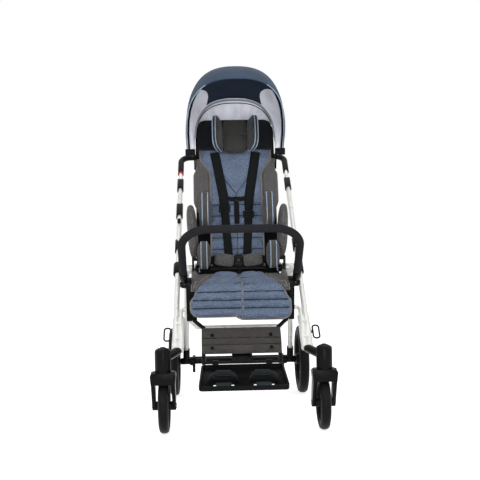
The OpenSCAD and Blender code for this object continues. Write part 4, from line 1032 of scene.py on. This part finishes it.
# Backrest cushion and its grey wings
SHELL_Y, BACK_FACE, CUSHION_FOOT, CUSHION_H = 50.0, 20.0, 12.0, 517.0
CUSHION_REAR = SHELL_Y - 0.6
WING_FOOT, WING_TOP, WING_OUT = 250.0, 473.0, 160.0
UPPER_FOOT, UPPER_TOP, UPPER_HALF = 519.0, 650.0, 152


def cushion_half(z):
    return lerp(106.0, 146.0, ease((z - 400) / 80))


def cushion_face(x, z):
    s = (x / cushion_half(z) + 1) / 2
    t = (z - CUSHION_FOOT) / (CUSHION_H - CUSHION_FOOT)
    return BACK_FACE + 12 * (1 - crown(s) * crown(t) ** 0.5)


TUFT_ROWS = (90.0, 136.0, 182.0, 228.0, 275.0)
YOKE_TIP, YOKE_RISE, YOKE_HALF = 322.0, 1.38, 62.0
TUFT_DEEP, TUFT_SOFT = 8.0, 8.0


def yoke(x):
    """Height of the V-shaped seam between the plain top and the tufted lower part of the cushion."""
    return YOKE_TIP + YOKE_RISE * abs(x)


def tuft(x, z):
    """1 in the cushion's sewn lines, falling to 0 beside them."""
    off = []
    if abs(x) < YOKE_HALF:
        off.append((z - yoke(x)) * 0.59)
    if z < yoke(x):
        off += [z - c for c in TUFT_ROWS]
    if z < YOKE_TIP:
        off.append(x)
    return max([math.exp(-((d / TUFT_SOFT) ** 2)) for d in off] or [0.0])


def back_cushion():
    ts, ss = span(0, 1, 120), edge_span(44)

    def place(s, t):
        z = lerp(CUSHION_FOOT, CUSHION_H, t)
        return cushion_half(z) * (2 * s - 1), z

    def face(s, t):
        x, z = place(s, t)
        ripple = 1.2 * noise.noise(Vector((x * 0.03, z * 0.05, 2.0)))
        return on_back(x, cushion_face(x, z) + 2 + TUFT_DEEP * tuft(x, z) * crown(s) + ripple, z)

    def rear(s, t):
        x, z = place(s, t)
        return on_back(x, CUSHION_REAR, z)

    def sewn(s, t):
        return tuft(*place(s, t)) > 0.75

    ob = grid_solid("back_cushion_soft", ss, ts, face, rear, BLUE_CLOTH)
    puff_up(ob, sewn_points(ts, ss, 0.01, sewn), pressure=2.5, cap=3.0, slack=0.04)
    # Black cloth on the cushion's lowest part, below 58 mm up the back: painted shade in the gap between the lap pads
    # and the seat
    ob.data.materials.append(BLACK_CLOTH)
    foot = on_back(0, BACK_FACE, 58.0).z
    for f in ob.data.polygons:
        f.material_index = 1 if f.center.z < foot else 0
    upholster(ob, 0.6, "backrest", ["back_cushion"], "cloth_blue")

    # Dark cord along a sewn line of the cushion: painted shadow in the sunk crease
    def sewn_line(name, places):
        line = []
        for x, z in places:
            sunk = TUFT_DEEP * crown((x / cushion_half(z) + 1) / 2)
            line.append(on_back(x, cushion_face(x, z) + 1 + sunk, z))
        cord(name, line, 1.9, SEAM_SHADE, "backrest", "cloth_blue", sides=6)

    sewn_line("back_yoke_seam", [(x, yoke(x)) for x in span(-YOKE_HALF, YOKE_HALF, 40)])
    sewn_line("back_centre_seam", [(0, z) for z in span(62, YOKE_TIP, 30)])
    for k, z in enumerate(TUFT_ROWS):
        sewn_line("back_tuft_seam_%d" % k, [(x, z) for x in span(-98, 98, 40)])
    for side, tag in SIDES[::-1]:
        line = []
        for z in span(CUSHION_FOOT + 8, CUSHION_H - 6, 70):
            x = side * (cushion_half(z) - 3.5)
            line.append(on_back(x, cushion_face(x, z) - 2.0, z))
        cord("back_trim_" + tag, line, 3.4, TRIM, "backrest", "cloth_grey", sides=10)


back_cushion()


def back_wing(side, tag):
    def place(s, t, y):
        z = lerp(WING_FOOT, WING_TOP, t)
        outer = WING_OUT + 10 * ease((436 - z) / 24) - 14 * ease((300 - z) / 50)
        return on_back(side * lerp(cushion_half(z) + 0.6, outer, s), y, z)

    def face(s, t):
        roll = max(0.0, (s - 0.62) / 0.38) ** 2.6
        y = BACK_FACE + 5.0 - 14 * crown(s, 2.4) * crown(t, 4.0) + noise.noise(Vector((s * 4, t * 9, side)))
        return place(s, t, lerp(y, SHELL_Y - 6, roll))

    ob = grid_solid("back_wing_" + tag, edge_span(20), edge_span(40), face,
                    lambda s, t: place(s, t, CUSHION_REAR), GREY_CLOTH)
    upholster(ob, 0.6, "backrest", ["back_wings"], "cloth_grey")


for side, tag in SIDES:
    back_wing(side, tag)


def upper_pad():
    def place(s, t, y):
        half = UPPER_HALF - 40 * (1 - math.sqrt(max(0.0, 1 - max(0.0, (t - 0.6) / 0.4) ** 4)))
        return on_back(half * (2 * s - 1), y, lerp(UPPER_FOOT, UPPER_TOP, t))

    def face(s, t):
        ripple = 0.8 * noise.noise(Vector((s * 7, t * 5, 9.0)))
        return place(s, t, BACK_FACE + 8 * (1 - crown(s) * crown(t)) + 0.6 + ripple)

    ob = grid_solid("upper_back_soft", edge_span(44), edge_span(26), face,
                    lambda s, t: place(s, t, CUSHION_REAR), BLACK_CLOTH)
    upholster(ob, 0.6, "backrest", ["upper_back_pad"], "cloth_black")


upper_pad()


# Headrest
HEAD_Z = 559


def leaning(x, y, half_u):
    """Outline of a headrest wing, lower and shorter towards its front."""
    grow = (x / half_u + 1) / 2
    return x, y * (1 - 0.05 * grow) - 3 * grow


piped_pad("headrest_centre", ["headrest_pads"], "headrest", on_back(0, -5, HEAD_Z), (1, 0, 0), BACK_V,
          -BACK_U, 49, 70, 32, pipes=False, material=HEAD_CLOTH, power=4.5, gusset=0.45)
for side, tag in SIDES:
    front = Vector((side * 28.7, -94, 0)).normalized()
    run = BACK_U * front.y + Vector((1, 0, 0)) * front.x
    out = BACK_U * (front.x * side) + Vector((1, 0, 0)) * (-front.y * side)
    piped_pad("headrest_wing_" + tag, ["headrest_pads"], "headrest", on_back(side * 70.6, -35, HEAD_Z),
              run, BACK_V, out, 48, 71, 22, material=HEAD_CLOTH, power=3.6, gusset=0.55, shape=leaning)


# Harness
STRAP_FOOT, STRAP_BEND, STRAP_TOP = 62, 300, 500
STRAP_EDGE = 18
LOCK_Z = {"right": 228.0, "left": 252.0}
CHEST_Z = 292


def strap_x(z):
    if z < STRAP_BEND:
        return lerp(36.0, 50.0, (z - STRAP_FOOT) / (STRAP_BEND - STRAP_FOOT))
    return lerp(50.0, 83.0, (z - STRAP_BEND) / (STRAP_TOP - STRAP_BEND))


def strap_half(z):
    return lerp(16.0, 19.0, ease((z - 250) / 40))


def strap_face(z):
    """Depth of the cushion under a shoulder strap's inner edge."""
    return cushion_face(strap_x(z) - STRAP_EDGE, z)


for side, tag in SIDES:
    zs = span(STRAP_FOOT, STRAP_TOP, 60)
    line = [on_back(side * strap_x(z), strap_face(z) - 0.8, z) for z in zs]
    strap("shoulder_strap_" + tag, line, -BACK_U, [strap_half(z) for z in zs], 2.6, "backrest", ["shoulder_straps"])

    def at_lock(x, y, z, side=side, lock_z=LOCK_Z[tag]):
        return on_back(side * strap_x(lock_z) + x, strap_face(lock_z) - 4 + y, lock_z + z)

    for k, z in enumerate((-11, 0, 11)):
        block("ladder_lock_%s_%d" % (tag, k), (-22, -3, z - 2.6), (22, 1.5, z + 2.6), BLACK_SATIN, "backrest",
              at_lock, 1.2)
    for k, x in enumerate((-20, 20)):
        block("ladder_side_%s_%d" % (tag, k), (x - 2.2, -2.6, -13), (x + 2.2, 1.2, 13), BLACK_SATIN, "backrest",
              at_lock, 1.2)

chest = [on_back(x, cushion_face(x, CHEST_Z) - 5.5, CHEST_Z + 5 * (x / 36) ** 2) for x in span(-36, 36, 14)]
strap("chest_strap", chest, -BACK_U, 9, 2.4, "backrest")
block("chest_clip", (-13, -4, -9), (13, 3, 9), BLACK_SATIN, "backrest",
      lambda x, y, z: on_back(x, cushion_face(0, CHEST_Z) - 9 + y, CHEST_Z + z), 2.0, 4.0, 0.8)
drop = [on_back(0, cushion_face(0, z) - 1.2, z) for z in span(190, 284, 12)]
strap("centre_strap", drop, -BACK_U, 10, 2.2, "backrest")

crotch = [Vector((0, -111.6, z)) * MM for z in span(504, 543, 8)]
strap("crotch_strap_web", crotch, (1, 0, 0), 7, 2.2, "chassis", ["crotch_strap"])


# Calf pad with its studs, hinge screws, foot straps and slats
CALF_Y, CALF_TOP, CALF_H, CALF_HALF = -7.3, -52, 106, 143
CALF_THICK, CALF_DEEP = 14, 11
CALF_SEAMS = (0.0, 0.42, 0.67, 1.0)


def calf_pad():
    ts, ss = span(0, 1, 45), edge_span(40)

    def place(s, t, y):
        return on_leg((CALF_HALF - 4 * (1 - crown(t))) * (2 * s - 1), y, CALF_TOP - CALF_H * t)

    def face(s, t):
        # Flatter at the top, where the raised legrest comes up to the thigh pads
        wave = channel(t, CALF_SEAMS) ** 0.8 * lerp(0.6, 1.0, ease((t - 0.12) / 0.2))
        ripple = 0.8 * noise.noise(Vector((s * 9, t * 5, 1.0)))
        return place(s, t, CALF_Y - CALF_THICK + CALF_DEEP * (1 - crown(s, 6) * wave) + ripple)

    def sewn(s, t):
        return min(abs(t - q) for q in CALF_SEAMS) < 0.02

    ob = grid_solid("calf_pad_soft", ss, ts, face, lambda s, t: place(s, t, CALF_Y - 0.3), CALF_CLOTH)
    puff_up(ob, sewn_points(ts, ss, 0.01, sewn), pressure=2.5, cap=3.0, slack=0.04)
    upholster(ob, 0.6, "legrest", ["calf_pad"], "cloth_dark")
    # Black cords along the calf pad's two inner seams: painted shadow in the valleys between the channels
    for k, t in enumerate(CALF_SEAMS[1:3]):
        line = [on_leg(140 * (2 * s - 1), CALF_Y - 4.2, CALF_TOP - CALF_H * t) for s in span(0, 1, 24)]
        cord("calf_seam_%d" % k, line, 1.6, BLACK_CLOTH, "legrest", "cloth_dark", sides=6)


calf_pad()
leg_front = on_leg(0, -1, 0) - on_leg(0, 0, 0)
for k, (x, z) in enumerate(((-105, -90), (105, -90), (-105, -141), (105, -141))):
    turned("calf_stud_%d" % k, on_leg(x, -20.5, z), leg_front, 6.5, 4.0, BLACK_SATIN, "legrest", 1.0)
for k, x in enumerate((-16, 16)):
    turned("hinge_screw_%d" % k, on_leg(x, -3.2, -172), leg_front, 3.2, 1.6, RIM_GREY, "legrest", 0.5)

FOOT_STRAP_IN, FOOT_STRAP_OUT, FOOT_STRAP_Y, FOOT_STRAP_RISE = 22, 118, -115, 27
SLAT_X, SLAT_HALF, SLAT_FOOT, SLAT_TOP = 68, 26, -11.9, -9.9
foot_up = on_foot(0, 0, 1) - on_foot(0, 0, 0)
foot_back = (on_foot(0, 1, 0) - on_foot(0, 0, 0)).normalized()
for side, tag in SIDES:
    line = [on_foot(side * lerp(FOOT_STRAP_IN, FOOT_STRAP_OUT, t), FOOT_STRAP_Y, -11.2 + FOOT_STRAP_RISE * crown(t))
            for t in edge_span(30)]
    normals = []
    for k in range(len(line)):
        run = (line[min(k + 1, len(line) - 1)] - line[max(k - 1, 0)]).normalized()
        n = run.cross(foot_back)
        normals.append(n if n.dot(foot_up) > 0 else -n)
    strap("foot_strap_" + tag, line, normals, 16, 2.6, "footplate", ["foot_straps"])
    for k, (y, w) in enumerate(((-46, 9), (-76.5, 7), (-146, 13))):
        block("foot_slat_%s_%d" % (tag, k), (side * SLAT_X - SLAT_HALF, y - w, SLAT_FOOT),
              (side * SLAT_X + SLAT_HALF, y + w, SLAT_TOP), SLAT_GREEN, "footplate", on_foot, 0.6)


# Canopy: one curved sheet from the back panel over the head to the visor
HOOD_Y, HOOD_Z = -3.0, 490.0
REAR_R, VISOR_R = 232.0, 380.0
HOOP_HALF, VISOR_HALF = 173.0, 203.5
EDGE_HALF, EDGE_Y = 164.0, 56.0
HOOD_POWER, EDGE_POWER = 2.7, 12
COLLAR = 14.3
JOIN_LEAN, FRONT_LEAN = 27.0, 72.0
HOOD_COLS = 130
HOOD_UNDER, HOOD_OVER = -1.0, 11.5
WIDE_LEAN, LIFT_LEAN = 30, 16
HOOD_THICK = 2.2
GATHER_DEEP, GATHER_STEP = 11.0, 38


def hood_r(lean):
    return lerp(REAR_R, VISOR_R, (max(0.0, lean) / FRONT_LEAN) ** 0.7)


def hood_half(lean):
    return lerp(HOOP_HALF, VISOR_HALF, ease(lean / WIDE_LEAN))


def hood_lift(lean):
    """How far the cloth stands off the curve of hood_r: under it at the rear, over the bow at the front."""
    return lerp(HOOD_UNDER, HOOD_OVER, ease((lean - LIFT_LEAN) / 16))


def arch_turn(t, r):
    """Turn at share t of an arch of radius r, from one collar to the other."""
    a0 = math.asin((COLLAR / r) ** (HOOD_POWER / 2))
    return lerp(pi - a0, a0, t)


def hood_point(lean, t, half, r):
    a = arch_turn(t, r)
    x, q = rounded(a, half * (1 - 0.05 * (1 - abs(sin(a))) ** 2), r, HOOD_POWER)
    return Vector((x, HOOD_Y - q * sin(rad(lean)), HOOD_Z + q * cos(rad(lean))))


def edge_point(t):
    x, z = rounded(arch_turn(t, REAR_R), EDGE_HALF, EDGE_HALF, EDGE_POWER)
    return Vector((x, EDGE_Y, HOOD_Z + z))


def even_turns(place, n):
    """Shares at n even steps by length along a line, the points there and the length of a step."""
    fine = span(0, 1, 3000)
    pts = [place(t) for t in fine]
    run = lengths(pts)
    step = run[-1] / n
    turns = [float(np.interp(k * step, run, fine)) for k in range(n + 1)]
    points = []
    for k in range(n + 1):
        i = min(int(np.searchsorted(run, k * step, "right")) - 1, len(run) - 2)
        points.append(pts[i].lerp(pts[i + 1], (k * step - run[i]) / max(1e-9, run[i + 1] - run[i])))
    return turns, points, step


def dip(t):
    return max(0.0, sin(pi * max(0.0, min(1.0, t))))


def hood_grid():
    """Rows of the sheet, from the back panel's edge over the rear hoop to the visor, each with its lean."""
    ts, hoop, step = even_turns(lambda t: hood_point(0, t, HOOP_HALF, REAR_R + hood_lift(0)), HOOD_COLS)
    edge = even_turns(edge_point, HOOD_COLS)[1]
    rows, tags = [], []
    for d in span(1, 0, 14)[:-1]:
        row = []
        for k, t in enumerate(ts):
            p = hoop[k].lerp(edge[k], d)
            at = k * step
            loose = noise.noise(Vector((at * 0.012, 3.0, 5.0)))
            fold = sin(2 * pi * at / GATHER_STEP + 3 * loose) * (0.7 + loose)
            p.y += GATHER_DEEP * sin(pi * d) * crown(t) * fold
            row.append(p)
        rows.append(row)
        tags.append(-d)
    for lean in span(0, FRONT_LEAN, 36):
        r = hood_r(lean) + hood_lift(lean)
        sag = 4.0 * dip((lean - JOIN_LEAN) / 35.0) + 3.0 * dip(lean / JOIN_LEAN)
        row = []
        for t in ts:
            top = crown(t, 2.0)
            wrinkle = 1.3 * noise.noise(Vector((t * 9, lean * 0.16, 4.0))) * top
            row.append(hood_point(lean, t, hood_half(lean), r - sag * top * 0.6 + wrinkle))
        rows.append(row)
        tags.append(lean)
    return ts, rows, tags


def panel_mark(t, lean):
    """Millimetres inside the dark panel or the hem of the canopy's inner skin; less than 0 outside them."""
    mid = abs(t - 0.5)
    side = (0.165 + 0.0004 * (lean - 11) ** 2 - mid) * 620
    panel = min(side, (lean - 1.5) * 4.5, (44 - lean) * 5.0)
    hem = (lean - FRONT_LEAN + 1.5 + 6.5 * ease((mid - 0.27) / 0.13)) * 6.6
    return max(panel, hem)


def canopy():
    ts, rows, tags = hood_grid()
    rows = [[on_back(*p) for p in r] for r in rows]
    cols = len(ts)
    verts = [p for r in rows for p in r]
    across = lengths(rows[len(rows) // 2])
    down = lengths([r[cols // 2] for r in rows])
    uvs = [(across[i], down[j]) for j in range(len(rows)) for i in range(cols)]
    faces = []
    for j in range(len(rows) - 1):
        for i in range(cols - 1):
            a = j * cols + i
            faces.append((a, a + 1, a + cols + 1, a + cols))
    ob = put("canopy_cloth", verts, faces, [NAVY_CLOTH, LINING], uvs)
    mark = ob.data.attributes.new("panel", "FLOAT", "POINT")
    mark.data.foreach_set("value", [panel_mark(t, lean) for lean in tags for t in ts])
    # Faces look outwards, so the lining is the inner skin of the thickness
    c = on_back(0, HOOD_Y, HOOD_Z + 60)
    if sum(p.normal.dot(p.center - c) for p in ob.data.polygons) < 0:
        ob.data.flip_normals()
    area = sum(p.area for p in ob.data.polygons)
    mod = ob.modifiers.new("skins", "SOLIDIFY")
    mod.thickness = HOOD_THICK * MM
    mod.offset = -1
    mod.material_offset = 1
    use(ob, mod)
    soften(ob)
    ob.data.polygons.foreach_set("use_smooth", [True] * len(ob.data.polygons))
    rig.blend(ob, "backrest", "canopy", on_back(*hood_point(20, 0.5, 180, hood_r(20))),
             on_back(*hood_point(36, 0.5, 180, hood_r(36))))
    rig.replaces(ob, "canopy_rear", "canopy_front")
    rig.slot(ob, "cloth_navy")
    # The cut is as wide as its widest row and as long as its longest column; its area is measured on the cloth
    wide = max(lengths(r)[-1] for r in rows)
    long = max(lengths(c)[-1] for c in zip(*rows))
    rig.sheet(ob, (wide, long), "stretched", ["canopy_bow", "canopy_brackets"], area=area)


canopy()


def hood_line(name, lean, inset, grow, r, material, body, lo, hi, slot="cloth_navy"):
    """Cord along the arch at a lean, from share lo to share hi of it."""
    half, arch = hood_half(lean) - inset, hood_r(lean) + (hood_lift(lean) + grow)
    cord(name, [on_back(*hood_point(lean, t, half, arch)) for t in span(lo, hi, 90)], r, material, body, slot)


hood_line("visor_piping_left", FRONT_LEAN, 0.5, -0.5, 1.6, PIPING_BLUE, "canopy", 0.03, 0.36)
hood_line("visor_piping_right", FRONT_LEAN, 0.5, -0.5, 1.6, PIPING_BLUE, "canopy", 0.64, 0.97)
hood_line("visor_binding", FRONT_LEAN, 0.5, -1.0, 2.4, NAVY_CLOTH, "canopy", 0.35, 0.65)
hood_line("rear_hoop_band", 1.0, 5.0, -6.0, 4.2, HOOP_BAND, "backrest", 0.05, 0.95, "cloth_grey")
# Thin black line just under the rear hoop's band: painted shadow of the band
hood_line("rear_hoop_line", 0.0, 7.0, -10.5, 1.8, BLACK_SATIN, "backrest", 0.14, 0.86, "plastic_black")


# Small fittings
tube_out = on_tube(0, -1, 0) - on_tube(0, 0, 0)
for side, tag in SIDES:
    out = Vector((side, 0, 0))
    for name, at, axis, r, h, body, bevel in (
            ("plate_boss_", (215.6, *PLATE_TOP), out, 9, 2.4, "chassis", 0.8),
            ("hub_cap_rear_", (290.3, 173, 138), out, 10, 3.0, "rear_frame", 1.0),
            ("swivel_cap_", (270, -494, 295.6), (0, 0, 1), 8, 1.6, "chassis", 0.5)):
        turned(name + tag, Vector((side * at[0], *at[1:])) * MM, axis, r, h, BLACK_SATIN, body, bevel)
    for k, s in enumerate((118, 158)):
        turned("clip_screw_%s_%d" % (tag, k), on_tube(side * MAIN_X, -13.8, s), tube_out, 3.2, 1.6, STEEL,
               "chassis", 0.4, "steel")


# Floor, light and white surround
def seen_rays(t):
    """1 for the rays that look at the white surround: from the camera, off gloss and through clear pieces."""
    path = t.nodes.new("ShaderNodeLightPath").outputs
    direct = maths(t, "MAXIMUM", path["Is Camera Ray"], path["Is Glossy Ray"])
    return maths(t, "MAXIMUM", direct, path["Is Transmission Ray"])


bpy.ops.object.select_all(action="DESELECT")
bpy.ops.mesh.primitive_plane_add(size=30, location=(0, 6, -0.0005))
floor = bpy.context.active_object
floor.name = "floor"
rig.stage(floor)
m, t, p = new_material("pale_floor")
feed(t, p, {"Base Color": (0.93, 0.93, 0.93, 1), "Roughness": 0.9, "Emission Color": (1, 1, 1, 1),
            "Emission Strength": maths(t, "MULTIPLY", seen_rays(t), 0.7)})
floor.data.materials.append(m)

world = bpy.data.worlds.new("white_surround")
bpy.context.scene.world = world
world.use_nodes = True
wt = world.node_tree
feed(wt, wt.nodes["Background"], {"Color": (1, 1, 1, 1), "Strength": ranged(wt, seen_rays(wt), 0.0, 1.0, 0.38, 1.0)})


def lamp(name, at, aim, size, power, spread=180):
    data = bpy.data.lights.new(name, "AREA")
    data.shape = "RECTANGLE"
    data.size, data.size_y = size
    data.energy = power
    data.spread = rad(spread)
    ob = bpy.data.objects.new(name, data)
    bpy.context.collection.objects.link(ob)
    ob.location = at
    ob.rotation_euler = (Vector(aim) - Vector(at)).to_track_quat("-Z", "Y").to_euler()


lamp("key_left", (-2.2, -2.6, 2.6), (0, 0, 0.6), (1.8, 1.8), 36)
lamp("fill_right", (2.6, -2.2, 1.8), (0, 0, 0.6), (1.8, 1.8), 22)
lamp("front_soft", (-0.2, -4.2, 1.9), (0, 0, 0.7), (1.6, 1.2), 34)
lamp("canopy_fill", (0.1, -4.2, 0.55), (0, 0, 1.2), (1.0, 1.0), 3.0, 40)
lamp("top_soft", (0, 0.2, 3.2), (0, 0, 0.5), (2.4, 2.4), 24)

low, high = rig.bounds()
with open("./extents.json", "w") as f:
    json.dump({"cad": [list(cad_low), list(cad_high)], "visual": [list(low), list(high)]}, f)
